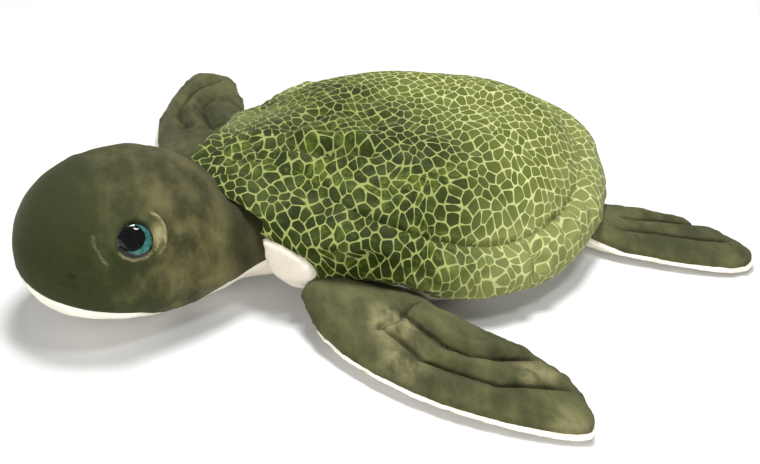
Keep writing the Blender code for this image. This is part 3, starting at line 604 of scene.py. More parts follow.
# %% [markdown]
# ## Where the rim's crease runs out
#
# In the photograph the crease between the dome and the rim is deep along the near side, soft at the
# front, and gone at the rear, where the dome hangs over the rim. So it is filled there: points are
# moved out to a strongly smoothed copy of the skin, and never in.

# %% Fill the crease at the rear and soften it at the front
CREASE_ROUNDS, RISE_ROUNDS = 420, 10


def crease_gone(points):
    """1 where the crease is filled, 0 where it stays."""
    x, y, z = points.T
    rear = ramp(y, 0.060, 0.05)
    front = ramp(y, -0.125, -0.03) * ramp(np.abs(x), 0.125, -0.04)
    return np.maximum(rear, 0.6 * front) * ramp(z, 0.030, 0.020)


swell(torso, (0.0, 0.130, 0.080), 0.011, (0.095, 0.050, 0.055), (0.0, 0.10, 0.99))
swell(torso, (-0.030, 0.010, 0.130), -0.009, (0.120, 0.090, 0.060), (0.0, 0.0, 1.0))
swell(torso, (0.090, 0.165, 0.050), -0.003, (0.050, 0.050, 0.040), (0.6, 0.8, 0.0))
points, out = points_of(torso), normals_of(torso)
rise = ((spread_out(points, edges_of(torso), CREASE_ROUNDS) - points) * out).sum(axis=1)
rise = spread_out(np.maximum(rise, 0), edges_of(torso), RISE_ROUNDS) * crease_gone(points)
move_points(torso, points + out * rise[:, None])
print("crease filled by up to", round(float(rise.max()) * 1000, 1), "mm")

# %% [markdown]
# ## Stitches along the channels
#
# The thread itself lies in a crisp narrow line at the bottom of each channel's side, and on the front
# flippers one more line joins the channels' starts across the shoulder. Along every line the crease is
# darkened with painted shade.

# %% Press the stitched lines
CREASE_SHADE_WIDTH = 0.0013
CHANNEL_STITCH, START_STITCH = (0.0024, 0.0017), (0.0026, 0.0022)      # depth and width
start_line = seen_line(limbs["front_flipper_left"], FRONT_START)[:, :2]
for limb, piece in limbs.items():
    lines = [(line, CHANNEL_STITCH) for line in limb_lines(limb)[0]]
    if limb.startswith("front"):
        lines.append((start_line * (side_of(limb), 1), START_STITCH))
    # Painted shade: a dark line along each stitched crease.
    crease_shade = np.zeros(len(points_of(piece)))
    for line, (depth, width) in lines:
        press(piece, line, depth, width, fade=0.12, flat=True)
        points, out, chosen, gap, along = near_line(piece, line, CREASE_SHADE_WIDTH, True)
        crease_shade[chosen] = np.maximum(crease_shade[chosen], bell(gap, 0, 1) * run_out(along, 0.1))
    keep_on_points(piece, "stitch_crease_shade", crease_shade)
print("stitched lines pressed")

# %% [markdown]
# ## Where the print lies
#
# The shell's fabric is printed with cells. Printed cloth is flat when it is cut, so each point of the
# skin gets a place on flat cloth: its direction from the crown, and its distance from the crown as a
# tape would measure it over the surface. The tape is laid in many directions by casting rays inwards
# on the finished bag. The places are stored before the folds go in, so the folds carry the cells.

# %% Measure the shell with a tape
TAPES, TAPE_STEPS = 72, 120
TAPE_CENTRE = np.array([0.0, -0.015, 0.040])
RAY_START = 0.6                             # well outside the shell, seen from the tapes' centre
CELL_WAY = np.array([0.84, -0.54, 0.0])     # the cells are longer this way on the flat cloth
CELL_SQUEEZE = 0.66
PLACE_ROUNDS = 40                           # of smoothing, so that no cell is torn by a bump


def tape_lengths(piece):
    """Length over the surface from the crown, for directions round the shell and downwards."""
    tree = tree_of(piece)
    table = np.zeros((TAPES, TAPE_STEPS))
    for row in range(TAPES):
        turn = 2 * math.pi * row / TAPES
        last = None
        for column in range(TAPE_STEPS):
            tilt = math.pi / 2 - math.pi * column / (TAPE_STEPS - 1)
            way = Vector((math.cos(turn) * math.cos(tilt), math.sin(turn) * math.cos(tilt), math.sin(tilt)))
            hit = tree.ray_cast(Vector(TAPE_CENTRE) + way * RAY_START, -way)[0] or last
            if last is not None:
                table[row, column] = table[row, column - 1] + (hit - last).length
            last = hit
    return table


def flat_places(piece):
    """Place of every point on flat cloth."""
    table = tape_lengths(piece)
    table = (np.roll(table, 1, axis=0) + 2 * table + np.roll(table, -1, axis=0)) / 4
    away = points_of(piece) - TAPE_CENTRE
    turn = np.arctan2(away[:, 1], away[:, 0]) / (2 * math.pi) * TAPES % TAPES
    tilt = np.arctan2(away[:, 2], np.hypot(away[:, 0], away[:, 1]))
    step = (math.pi / 2 - tilt) / math.pi * (TAPE_STEPS - 1)
    row, column = turn.astype(int) % TAPES, np.minimum(step.astype(int), TAPE_STEPS - 2)
    u, v = turn - turn.astype(int), step - column
    following = (row + 1) % TAPES
    length = ((table[row, column] * (1 - v) + table[row, column + 1] * v) * (1 - u)
              + (table[following, column] * (1 - v) + table[following, column + 1] * v) * u)
    around = turn / TAPES * 2 * math.pi
    flat = np.column_stack([np.cos(around) * length, np.sin(around) * length, np.zeros(len(away))])
    return flat + CELL_WAY * ((flat @ CELL_WAY) * (CELL_SQUEEZE - 1))[:, None]


places = spread_out(flat_places(torso), edges_of(torso), PLACE_ROUNDS)
keep_on_points(torso, "cloth_place", places)
print("print placed on", len(places), "points, out to", round(float(np.abs(places).max()), 3), "m")

# %% [markdown]
# ## Folds of the shell
#
# The loosely filled shell has a long soft crease across its front, short folds that hang from the
# seam of the rim, and gathers where the collar turns over the far shoulder. They are placed by their
# spots in the picture. The side that the camera doesn't see gets mirrored ones of its own.

# %% Press the shell's folds
# Each fold: its spots in the picture, its depth and its width in metres.
SHELL_FOLDS = [
    ([(268, 147), (292, 143), (320, 148), (350, 147), (385, 150)], 0.0105, 0.010),
    ([(258, 150), (272, 157), (300, 170), (330, 190)], 0.0030, 0.004),
    ([(404, 222), (424, 232), (446, 240)], 0.0040, 0.006),
    ([(420, 268), (428, 280), (434, 291)], 0.0045, 0.005),
    ([(528, 240), (541, 262), (534, 288)], 0.0090, 0.0055),
    ([(552, 213), (566, 226), (570, 240)], 0.0070, 0.005),
    ([(472, 262), (480, 276), (476, 292)], 0.0030, 0.004),
    ([(352, 240), (372, 256), (392, 266)], 0.0028, 0.005),
    ([(575, 190), (590, 204), (594, 222)], 0.0030, 0.004),
    ([(215, 152), (226, 139), (242, 128)], 0.0040, 0.0045),
    ([(204, 161), (214, 144), (229, 131)], 0.0030, 0.0035),
    ([(232, 160), (246, 146), (262, 136)], 0.0025, 0.004),
    ([(440, 130), (480, 150), (520, 160)], 0.0022, 0.010),
    ([(330, 110), (360, 118), (400, 116)], 0.0020, 0.010)]

FAR_SIDE = (-0.97, 1.02, 1.0)      # nearly the mirror image
FAR_DEPTH = 0.0045                 # no fold on that side is deeper
DENT_SIZE, DENT_DEPTH = 0.055, 0.0022    # the filling is loose, so the cloth has soft dents
FINER = 2.3                        # so many times smaller are the dents within the dents
SEAM_CALM, CALM_REACH = 0.35, 0.014      # a seam holds the cloth back

points, out = points_of(torso), normals_of(torso)
dents = np.array([noise.noise(Vector(point) / DENT_SIZE) for point in points])
dents += 0.5 * np.array([noise.noise(Vector(point) / DENT_SIZE * FINER) for point in points])
dents *= ramp(points[:, 2], 0, 0.02)
move_points(torso, points + out * (dents * DENT_DEPTH)[:, None])

calm = SEAM_CALM + (1 - SEAM_CALM) * ramp(from_seam(torso, TORSO_PANELS), 0, CALM_REACH)
shell_lines = [(seen_line(torso, pixels), depth, width) for pixels, depth, width in SHELL_FOLDS]
for line, depth, width in shell_lines:
    press(torso, line, depth, width, calm=calm)
    press(torso, line * FAR_SIDE, min(0.9 * depth, FAR_DEPTH), width, calm=calm)
print(len(shell_lines), "folds on each side of the shell")

# %% [markdown]
# ## The head's creases, nostrils and eye sockets
#
# The head's fabric bends into a crease beside the neck. Two small stitches dimple the snout where
# the nostrils are. Each eye is a hard plastic one, held through the fabric by a washer, so the
# fabric lies flat and a little sunk under it, and puckers round its rim.

# %% Find the eyes' middles and directions
def eye_frame(side):
    """Middle of the eye's base on the fabric and the outward direction, from its lens."""
    node = frame["nodes"]["eye_lens_" + side]
    points = np.array([v.co for v in node.data.vertices])
    middle = points.mean(axis=0)
    across, size, turned = np.linalg.svd(points - middle)
    facing = turned[2] * (1 if turned[2][2] > 0 else -1)
    base = middle + facing * ((points - middle) @ facing).min()
    return base, facing


eyes = {side: eye_frame(side) for side in ("left", "right")}
print("left eye at", eyes["left"][0].round(3), "facing", eyes["left"][1].round(2))

# %% Shape the head's skin
EYE_RADIUS = 0.015
EYE_SINK = 0.0012
SOCKET_DEPTH = 0.0024                              # of the flat fabric under the eye
SOCKET_EDGE, SOCKET_FADE = 0.0045, 0.0035          # outside the eye's rim
RING_PLACE, RING_WIDTH, RING_HEIGHT = 0.0038, 0.0026, 0.0014       # of the pucker round the rim
SOCKET_REACH = 0.02                                # to either side of the fabric
NOSTRIL, NOSTRIL_SIZE = (0.076, -0.4006, 0.0823), 0.0035
FOLD_SPOT = [(157, 234), (157, 236)]               # spots of the picture, on the fold behind the eye
# Each fold: its spots in the picture, its depth and its width in metres.
HEAD_FOLDS = [
    ([(174, 161), (186, 173), (198, 181), (206, 190)], 0.0022, 0.0028),
    ([(198, 166), (216, 184), (236, 206)], 0.0012, 0.0060),
    ([(150, 206), (162, 213), (169, 226), (169, 245), (160, 259)], 0.0020, 0.0026),
    ([(148, 211), (160, 218), (165, 230), (165, 245), (157, 257)], -0.0018, 0.0020),
    ([(155, 224), (158, 234), (158, 246)], 0.0012, 0.0020),
    ([(91, 233), (93, 246), (98, 257)], 0.0008, 0.0022),
    ([(60, 281), (70, 285), (80, 285)], 0.0016, 0.0022)]
# Painted highlights where the pile catches the light: two folds beside the eye, its lower rim, and an arc
# before it.
PAINTED_HIGHLIGHT_LINES = [
    (1.0, [(148, 211), (160, 218), (165, 230), (165, 245), (157, 257)]),
    (0.7, [(155, 252), (159, 240), (159, 226)]),
    (1.0, [(117, 251), (123, 257.5), (134, 261), (146, 258), (153, 249)]),
    (0.35, [(92, 234), (94, 245), (101, 258), (109, 267)])]
HIGHLIGHT_WIDTH = 0.0009

points = points_of(head)
# Painted highlight: a pale line along each of these edges, on both sides of the head.
wear_and_highlight = np.zeros(len(points))
for strength, pixels in PAINTED_HIGHLIGHT_LINES:
    line = seen_line(head, pixels)
    for mirror in (1, -1):
        gap, along = distance_to_line(points, line * (mirror, 1, 1))
        wear_and_highlight = np.maximum(wear_and_highlight, strength * bell(gap, 0, HIGHLIGHT_WIDTH) * run_out(along, 0.125))
keep_on_points(head, "painted_highlight_edge", wear_and_highlight)
fold_spot = seen_line(head, FOLD_SPOT)[0]
head_lines = [(seen_line(head, pixels), depth, width) for pixels, depth, width in HEAD_FOLDS]
for line, depth, width in head_lines:
    press(head, line, depth, width)
    press(head, line * (-1, 1, 1), depth, width)

for mirror, (base, facing) in zip((1, -1), eyes.values()):
    points = points_of(head)
    offset = points - base
    height = offset @ facing
    spread = np.linalg.norm(offset - height[:, None] * facing, axis=1)
    near = np.abs(height) < SOCKET_REACH
    sunk = ramp(spread, EYE_RADIUS + SOCKET_EDGE, -SOCKET_FADE) * near
    points -= facing * ((height + SOCKET_DEPTH) * sunk)[:, None]
    ring = bell(spread, EYE_RADIUS + RING_PLACE, RING_WIDTH) * near
    points += facing * (ring * RING_HEIGHT)[:, None]
    move_points(head, points)
    swell(head, np.multiply(NOSTRIL, (mirror, 1, 1)), -NOSTRIL_SIZE, (NOSTRIL_SIZE,) * 3)
print("head shaped")

# %% [markdown]
# ## Fillings
#
# Under the fabric of a real toy lies loose polyester filling. Each bag gets one filling body, a
# smoother copy of the skin drawn inwards by less than the bag's own thickness. It replaces the
# frame's plain filling solid.

# %% Make the fillings
FILLING_VOXEL, FILLING_ROUNDS = 0.005, 4
THICKNESS_SHARE = 0.36     # no filling is drawn in by more than this share of its bag's thickness
RAY_SKIP = 1e-4            # a ray starts this far inside, so that it doesn't hit its own point


def filling_of(bag, name, inset):
    """A smooth copy of a bag, drawn inwards but no further than a share of its thickness."""
    piece = bag.copy()
    piece.data = bag.data.copy()
    piece.name = name
    bpy.context.collection.objects.link(piece)
    even_squares(piece, FILLING_VOXEL, FILLING_ROUNDS)
    tree = tree_of(piece)
    points, out = points_of(piece), normals_of(piece)
    drawn = np.empty(len(points))
    for index, (point, way) in enumerate(zip(points, out)):
        inward = -Vector(way)
        gap = tree.ray_cast(Vector(point) + inward * RAY_SKIP, inward)[3]
        drawn[index] = min(inset, THICKNESS_SHARE * (gap or inset))
    drawn = spread_out(drawn, edges_of(piece), 6)
    move_points(piece, points - out * drawn[:, None])
    print(name, len(piece.data.polygons), "faces")
    return piece


body_filling = filling_of(torso, "body_filling", 0.0065)
head_filling = filling_of(head, "head_filling", 0.0060)
limb_fillings = {limb: filling_of(piece, limb + "_filling", 0.0080) for limb, piece in limbs.items()}

# %% [markdown]
# ## Cutting the skins into panels
#
# Each skin is now cut into the panels that were sewn together, along the lines where the frame's
# panels meet. The cut follows the mesh's squares, so it is smoothed into an even line first. Thread
# pulls the seam in, which gives a groove, and gathers the fabric into little puckers across it.

# %% Find the seams on a skin and draw them in
SEAM_ROUNDS = 28           # of smoothing a seam's own line
SEAM_PULL = 0.008          # reach of the fabric that follows the smoothed line
GROOVE_WIDTH = 0.0022
LIP_PLACE, LIP_WIDTH, LIP_SHARE = 0.0048, 0.0026, 0.35       # the bulges on both sides of the groove
PUCKER_LENGTHS = (0.0065, 0.0092, 0.0138, 0.021)
PUCKER_START, PUCKER_REACH = 0.0025, 0.006
ON_FLOOR = 0.001           # points lower than this stay at their height


def panel_of_faces(piece, nodes, column=0, shift=0.0):
    """Number of the nearest panel for every face. A shift makes one panel smaller, or larger if below 0."""
    table = spread_out(panel_distances(points_of(piece), nodes), edges_of(piece), 8)
    table[:, column] += shift
    corners = np.empty(len(piece.data.loops), int)
    piece.data.loops.foreach_get("vertex_index", corners)
    starts = np.empty(len(piece.data.polygons), int)
    piece.data.polygons.foreach_get("loop_start", starts)
    sums = np.add.reduceat(table[corners], starts, axis=0)
    return sums.argmin(axis=1)


def seam_chains(piece, faces):
    """Edges between panels, and for each seam point its neighbours on the seam."""
    bm = bmesh.new()
    bm.from_mesh(piece.data)
    bm.faces.ensure_lookup_table()
    neighbours = {}
    for edge in bm.edges:
        sides = edge.link_faces
        if len(sides) == 2 and faces[sides[0].index] != faces[sides[1].index]:
            one, two = edge.verts[0].index, edge.verts[1].index
            neighbours.setdefault(one, []).append(two)
            neighbours.setdefault(two, []).append(one)
    bm.free()
    return neighbours


def even_out(points, neighbours, rounds):
    """Smooth the seam's own line, and leave points where three seams meet."""
    free = [index for index, others in neighbours.items() if len(others) == 2]
    ends = np.array([neighbours[index] for index in free])
    for _ in range(rounds):
        points[free] += 0.5 * (points[ends].mean(axis=1) - points[free])


def lengths_along(points, neighbours):
    """Length along its seam for every seam point."""
    length, left = {}, set(neighbours)
    while left:
        start = min(left)
        length[start] = 0.0
        stack = [start]
        while stack:
            here = stack.pop()
            left.discard(here)
            for there in neighbours[here]:
                if there not in length:
                    length[there] = length[here] + float(np.linalg.norm(points[there] - points[here]))
                    stack.append(there)
    return length


def draw_seams(piece, faces, depth, pucker, seed):
    """Groove and puckers along every seam of a skin."""
    neighbours = seam_chains(piece, faces)
    points = points_of(piece)
    even_out(points, neighbours, SEAM_ROUNDS)
    held = np.zeros(len(points))
    held[list(neighbours)] = 1
    relaxed = spread_out(points, edges_of(piece), 3, held)
    lengths = lengths_along(relaxed, neighbours)
    tree = KDTree(len(neighbours))
    for index in neighbours:
        tree.insert(relaxed[index], index)
    tree.balance()
    gaps, along = np.empty(len(points)), np.empty(len(points))
    for index, point in enumerate(relaxed):
        spot, nearest, gaps[index] = tree.find(point)
        along[index] = lengths[nearest]
    points = points + (relaxed - points) * bell(gaps, 0, SEAM_PULL)[:, None]
    random = np.random.default_rng(seed)
    wave = np.zeros(len(points))
    for length in PUCKER_LENGTHS:
        wave += np.sin(2 * math.pi * (along / length + random.random())) * (length / PUCKER_LENGTHS[2])
    shape = LIP_SHARE * depth * bell(gaps, LIP_PLACE, LIP_WIDTH) - depth * bell(gaps, 0, GROOVE_WIDTH)
    shape = shape + pucker * wave * np.exp(-gaps / PUCKER_REACH) * ramp(gaps, 0, PUCKER_START)
    move_points(piece, points)
    lifted = points + normals_of(piece) * shape[:, None]
    flat = points[:, 2] < ON_FLOOR
    lifted[flat, 2] = points[flat, 2]
    lifted[:, 2] = np.maximum(lifted[:, 2], 0.0)
    move_points(piece, lifted)
    print(piece.name, "has", len(neighbours), "seam points")


# %% Cut a skin into panels of cloth
CLOTH = 0.0018             # thickness of the plush with its pile
THINNING = 1.5             # in tight folds the cloth gets thinner, so it doesn't fold over itself


def cut_panels(piece, faces, names, hair):
    """One closed panel of cloth for each number, drawn a hair back from its seams."""
    panels = {}
    for number, name in enumerate(names):
        bm = bmesh.new()
        bm.from_mesh(piece.data)
        bm.faces.ensure_lookup_table()
        others = [face for face in bm.faces if faces[face.index] != number]
        bmesh.ops.delete(bm, geom=others, context="FACES")
        rims = [(vert, [edge.other_vert(vert) for edge in vert.link_edges if not edge.is_boundary])
                for vert in bm.verts if vert.is_boundary]
        moves = [(vert, sum((other.co - vert.co for other in inner), Vector()) / len(inner))
                 for vert, inner in rims if inner]
        for vert, way in moves:
            vert.co += way.normalized() * hair
        for edge in bm.edges:
            edge.smooth = not edge.is_boundary
        panel = from_bmesh(name, bm)
        solid = panel.modifiers.new("cloth", "SOLIDIFY")
        solid.thickness = CLOTH
        solid.offset = -1.0
        solid.thickness_clamp = THINNING
        apply_modifiers(panel)
        select_only(panel)
        bpy.ops.object.shade_smooth()
        panels[name] = panel
        print(name, len(panel.data.polygons), "faces")
    bpy.data.objects.remove(piece)
    return panels


# %% Draw the seams in and cut all skins
# The pale belly reaches higher beside the neck, up to this line of the picture, and shows as a bib.
BIB_ACROSS, BIB_DOWN = (250, 262, 272, 290, 306, 318), (225, 232, 241, 250, 260, 268)
BIB_SHIFT, BIB_TOP = -0.045, 0.075
# The chin's seam lies lower than the solid's at the snout and under the jaw, and higher at the throat.
CHIN_SHIFT = [(-0.44, 0.011), (-0.41, 0.009), (-0.38, -0.001), (-0.35, -0.008), (-0.33, 0.003),
              (-0.30, 0.020), (-0.275, 0.008), (-0.250, 0.002), (-0.23, -0.004)]
SHELL_GROOVE, LID_GROOVE, HEAD_GROOVE, LIMB_GROOVE = 0.0028, 0.0002, 0.0008, 0.0016
HAIR, HEAD_HAIR = 0.00008, 0.00002
cloths = {}


def sew(piece, faces, names, depth, pucker, seed, hair=HAIR):
    """Draw a skin's seams in and cut it into its cloths."""
    draw_seams(piece, faces, depth, pucker, seed)
    cloths.update(cut_panels(piece, faces, names, hair))


points = points_of(torso)
across, down = seen_at(np.column_stack([np.abs(points[:, 0]), points[:, 1:]]))
below = ramp(down - np.interp(across, BIB_ACROSS, BIB_DOWN), -2, 4)
below *= ramp(across, 320, -10) * ramp(points[:, 1], -0.180, -0.01) * (points[:, 2] < BIB_TOP)
faces = panel_of_faces(torso, TORSO_PANELS, TORSO.index("belly_panel"), BIB_SHIFT * below)
sew(torso, faces, ["shell_top_cloth", "shell_rim_cloth", "belly_cloth"],
    SHELL_GROOVE * (1 - 0.75 * crease_gone(points)), 0.0006, 3)

points = points_of(head)
shift = np.interp(points[:, 1], *zip(*CHIN_SHIFT))
faces = panel_of_faces(head, HEAD_PANELS, HEAD.index("chin_panel"), shift)
from_eye = np.min([np.linalg.norm(points - base, axis=1) for base, facing in eyes.values()], axis=0)
sew(head, faces, ["head_cloth", "chin_cloth", "eyelid_cloth_left", "eyelid_cloth_right"],
    LID_GROOVE + (HEAD_GROOVE - LID_GROOVE) * ramp(from_eye, 0.038, 0.010), 0.00015, 5, HEAD_HAIR)

for number, (limb, piece) in enumerate(limbs.items()):
    faces = panel_of_faces(piece, LIMB_PARTS[limb][:2], 1, -0.0022)
    sew(piece, faces, [limb + "_upper_cloth", limb + "_under_cloth"], LIMB_GROOVE, 0.0002, 11 + number)

# %% [markdown]
# ## Eyes
#
# A safety eye is a moulded plastic one: a coloured iris ring, a black pupil and a clear dome over
# both. The iris is a shallow dish, the pupil a low dome off its middle towards the snout, and the
# clear dome is spun from its profile round the eye's own direction.

# %% Turn a profile round an eye's direction
def turned(name, profile, base, facing, shift, segments=64):
    """A closed round piece from pairs of radius and height, turned round the eye's direction."""
    bm = bmesh.new()
    verts = [bm.verts.new((radius, 0, height)) for radius, height in profile]
    for one, two in zip(verts, verts[1:]):
        bm.edges.new((one, two))
    piece = from_bmesh(name, bm)
    select_only(piece)
    bpy.ops.object.mode_set(mode="EDIT")
    bpy.ops.mesh.select_all(action="SELECT")
    bpy.ops.mesh.spin(steps=segments, angle=2 * math.pi, center=(0, 0, 0), axis=(0, 0, 1))
    bpy.ops.mesh.select_all(action="SELECT")
    bpy.ops.mesh.remove_doubles(threshold=1e-6)
    bpy.ops.mesh.normals_make_consistent(inside=False)
    bpy.ops.object.mode_set(mode="OBJECT")
    up, forward = Vector(facing).normalized(), Vector((0, -1, 0))
    side = (forward - up * up.dot(forward)).normalized()
    other = up.cross(side)
    place = Vector(base) + side * shift[0] + other * shift[1] * math.copysign(1, -other.z)
    frame_of_eye = Matrix((side, other, up)).transposed().to_4x4()
    piece.data.transform(Matrix.Translation(place) @ frame_of_eye)
    bpy.ops.object.shade_smooth()
    return piece


def dome_profile(radius, height, foot, steps=14):
    """Profile of a dome on a short upright foot, closed to its middle at both ends."""
    points = [(0.0, 0.0), (radius, 0.0), (radius, foot)]
    for step in range(1, steps + 1):
        turn = math.pi / 2 * step / steps
        points.append((radius * math.cos(turn), foot + (height - foot) * math.sin(turn)))
    points[-1] = (0.0, height)
    return points


# %% Make both eyes
IRIS_DISH = [(0.0, -0.0026), (0.0045, -0.0026), (0.0045, 0.0002), (0.0137, 0.0002), (0.0140, 0.0008),
             (0.0137, 0.0017), (0.0120, 0.0014), (0.0060, 0.0012), (0.0, 0.0012)]
# Each part: its name, its profile, its height over the fabric, and its shift forwards and upwards.
EYE_PARTS = [("eye_dome_", dome_profile(EYE_RADIUS, 0.0068, 0.0008), 0.0019, (0.0, 0.0)),
             ("eye_ring_", IRIS_DISH, 0.0, (0.0, 0.0)),
             ("eye_black_", dome_profile(0.0102, 0.0024, 0.0004), 0.0013, (0.0019, -0.0025))]
eye_pieces = {}
for side, (base, facing) in eyes.items():
    for part, profile, height, shift in EYE_PARTS:
        place = base + facing * (height - EYE_SINK)
        eye_pieces[part + side] = turned(part + side, profile, place, facing, shift)
print(len(eye_pieces), "pieces of the eyes")

# %% [markdown]
# ## Materials
#
# Every fabric here is short plush. Its colour changes softly where the pile lies another way, and its
# surface is dull with a soft sheen at grazing angles. The shader maths below is written as formulas:
# a small class wraps a node's output, so that adding or multiplying two outputs adds Math nodes.

# %% Shader formulas
class Signal:
    """One output of a node in a finish, on which formulas can be written."""

    def __init__(self, finish, socket):
        self.finish = finish
        self.socket = socket

    def maths(self, operation, *operands):
        """A Math node on some operands."""
        return self.finish.node("ShaderNodeMath", {"operation": operation}, dict(enumerate(operands)))

    def __add__(self, other):
        return self.maths("ADD", self, other)

    def __sub__(self, other):
        return self.maths("SUBTRACT", self, other)

    def __rsub__(self, other):
        return self.maths("SUBTRACT", other, self)

    def __mul__(self, other):
        return self.maths("MULTIPLY", self, other)

    def __truediv__(self, other):
        return self.maths("DIVIDE", self, other)

    def __abs__(self):
        return self.maths("ABSOLUTE", self)

    def smooth(self, low, high):
        """0 below low, 1 above high, and an S-curve between them."""
        return self.finish.node("ShaderNodeMapRange", {"interpolation_type": "SMOOTHSTEP"},
                                {0: self, 1: low, 2: high, 3: 0.0, 4: 1.0})


def paint(red, green, blue):
    """A linear colour from the 0 to 255 numbers of a paint chart."""
    chart = [value / 255 for value in (red, green, blue)]
    return tuple(v / 12.92 if v <= 0.04045 else ((v + 0.055) / 1.055) ** 2.4 for v in chart) + (1.0,)


class Finish:
    """A material whose nodes are added one by one."""

    def __init__(self, name, **constants):
        self.material = bpy.data.materials.new(name)
        self.material.use_nodes = True
        self.tree = self.material.node_tree
        self.shader = self.tree.nodes["Principled BSDF"]
        for socket, value in constants.items():
            self.shader.inputs[socket.replace("_", " ")].default_value = value

    def node(self, kind, settings, sockets, output=0):
        """Add a node, first its settings and then its sockets' values or links."""
        added = self.tree.nodes.new(kind)
        for key, value in settings.items():
            setattr(added, key, value)
        for key, value in sockets.items():
            if isinstance(value, Signal):
                self.tree.links.new(value.socket, added.inputs[key])
            else:
                added.inputs[key].default_value = value
        return Signal(self, added.outputs[output])

    def mix(self, factor, one, two):
        """Colour one where the factor is 0, colour two where it is 1."""
        return self.node("ShaderNodeMix", {"data_type": "RGBA"}, {0: factor, 6: one, 7: two}, output=2)

    def place(self):
        """Object coordinates, which are metres in the frame."""
        return self.node("ShaderNodeTexCoord", {}, {}, output="Object")

    def stored(self, name, output):
        """What keep_on_points stored."""
        return self.node("ShaderNodeAttribute", {"attribute_name": name}, {}, output)

    def noise(self, place, scale, detail=3.0, roughness=0.5):
        """Soft noise with so many blotches a metre."""
        return self.node("ShaderNodeTexNoise", {"noise_dimensions": "3D"},
                         {"Vector": place, "Scale": scale, "Detail": detail, "Roughness": roughness})

    def stretched(self, place, scale, turn=(0.0, 0.0, 0.0)):
        """Coordinates scaled and turned by a Mapping node."""
        return self.node("ShaderNodeMapping", {}, {"Vector": place, "Rotation": turn, "Scale": scale})

    def split(self, vector):
        """The three numbers of a vector."""
        return [self.node("ShaderNodeSeparateXYZ", {}, {0: vector}, output=axis) for axis in range(3)]

    def near_spot(self, place, spot, reach):
        """1 near a spot, falling to 0 at its reach, the same on the turtle's left and right."""
        x, y, z = self.split(place)
        folded = self.node("ShaderNodeCombineXYZ", {}, {0: abs(x), 1: y, 2: z})
        gap = self.node("ShaderNodeVectorMath", {"operation": "DISTANCE"}, {0: folded, 1: tuple(spot)},
                        output="Value")
        return 1 - gap.smooth(0.25 * reach, reach)

    def feed(self, socket, signal):
        """Link a signal to the shader."""
        self.tree.links.new(signal.socket, self.shader.inputs[socket])
        return self

    def bump(self, height, strength, distance):
        """Feed the shader's normal from a height."""
        self.feed("Normal", self.node("ShaderNodeBump", {}, {"Height": height, "Strength": strength,
                                                             "Distance": distance}))
        return self


PLUSH = dict(Roughness=0.85, Sheen_Weight=0.10, Sheen_Roughness=0.35, Specular_IOR_Level=0.2,
             Sheen_Tint=(0.75, 0.75, 0.55, 1.0))


def pile(finish, place):
    """Height of the short pile: fine tufts and softer clumps."""
    return (finish.noise(place, 900.0, 2.0, 0.6) * 0.5 + finish.noise(place, 260.0, 3.0, 0.6) * 0.5
            + finish.noise(place, 70.0, 2.0, 0.5) * 0.6)


# %% The printed plush of the shell
def printed_plush(name, cells):
    """Dark rounded cells with pale lines between them, like a reticulated hide."""
    finish = Finish(name, **PLUSH)
    flat = finish.stored("cloth_place", "Vector")
    body = finish.place()
    drift = finish.node("ShaderNodeTexNoise", {"noise_dimensions": "2D"},
                        {"Vector": flat, "Scale": 26.0, "Detail": 1.0}, output="Color")
    away = finish.node("ShaderNodeVectorMath", {"operation": "MULTIPLY_ADD"},
                       {0: drift, 1: (0.012, 0.012, 0.0), 2: flat})
    cell = dict(voronoi_dimensions="2D", distance="EUCLIDEAN")
    seeds = {"Vector": away, "Scale": cells, "Randomness": 0.72}
    first = finish.node("ShaderNodeTexVoronoi", dict(cell, feature="F1"), seeds)
    shade = finish.node("ShaderNodeTexVoronoi", dict(cell, feature="F1"), seeds, output="Color")
    second = finish.node("ShaderNodeTexVoronoi", dict(cell, feature="F2"), seeds)
    rough = finish.noise(body, 420.0, 2.0, 0.6)
    # The share is 0 in a cell's middle and 1 halfway to the next cell, which rounds the corners off.
    share = first / second + (rough - 0.5) * 0.16
    inside = 1 - share.smooth(0.77, 0.90)
    shade = finish.node("ShaderNodeSeparateColor", {}, {0: shade})
    mottle = finish.noise(body, 150.0, 3.0, 0.65)
    patch = finish.noise(body, 16.0, 2.0, 0.5)
    x, y, z = finish.split(body)
    pale = (y + z * -1.4 + (patch - 0.5) * 0.06).smooth(-0.21, -0.10)
    lively = (mottle * 0.8 + patch * 0.8 + shade * 0.12).smooth(0.86, 1.12)
    deep = finish.mix(lively, finish.mix(shade, paint(29, 38, 6), paint(42, 52, 10)), paint(74, 87, 21))
    light = finish.mix(shade, paint(80, 88, 32), paint(102, 108, 50))
    colour = finish.mix(pale, deep, light)
    line = finish.mix(pale, finish.mix(mottle, paint(114, 122, 63), paint(147, 153, 93)),
                      finish.mix(mottle, paint(160, 168, 104), paint(190, 195, 138)))
    colour = finish.mix(inside, line, colour)
    nap = finish.noise(finish.stretched(body, (1.0, 1.0, 2.0)), 34.0, 4.0, 0.6)
    colour = finish.mix(nap.smooth(0.42, 0.80) * 0.20, colour, paint(128, 138, 80))
    colour = finish.mix((1 - z.smooth(0.050, 0.085)) * pale * 0.22, colour, paint(170, 174, 120))
    # Paler towards the shell's far front corner.
    far_front = (1 - x.smooth(-0.12, -0.02)) * (1 - y.smooth(-0.15, -0.09))
    colour = finish.mix(far_front * 0.22, colour, paint(166, 170, 118))
    finish.feed("Base Color", colour)
    return finish.bump(pile(finish, body) + inside * -0.1, 0.45, 0.0012).material


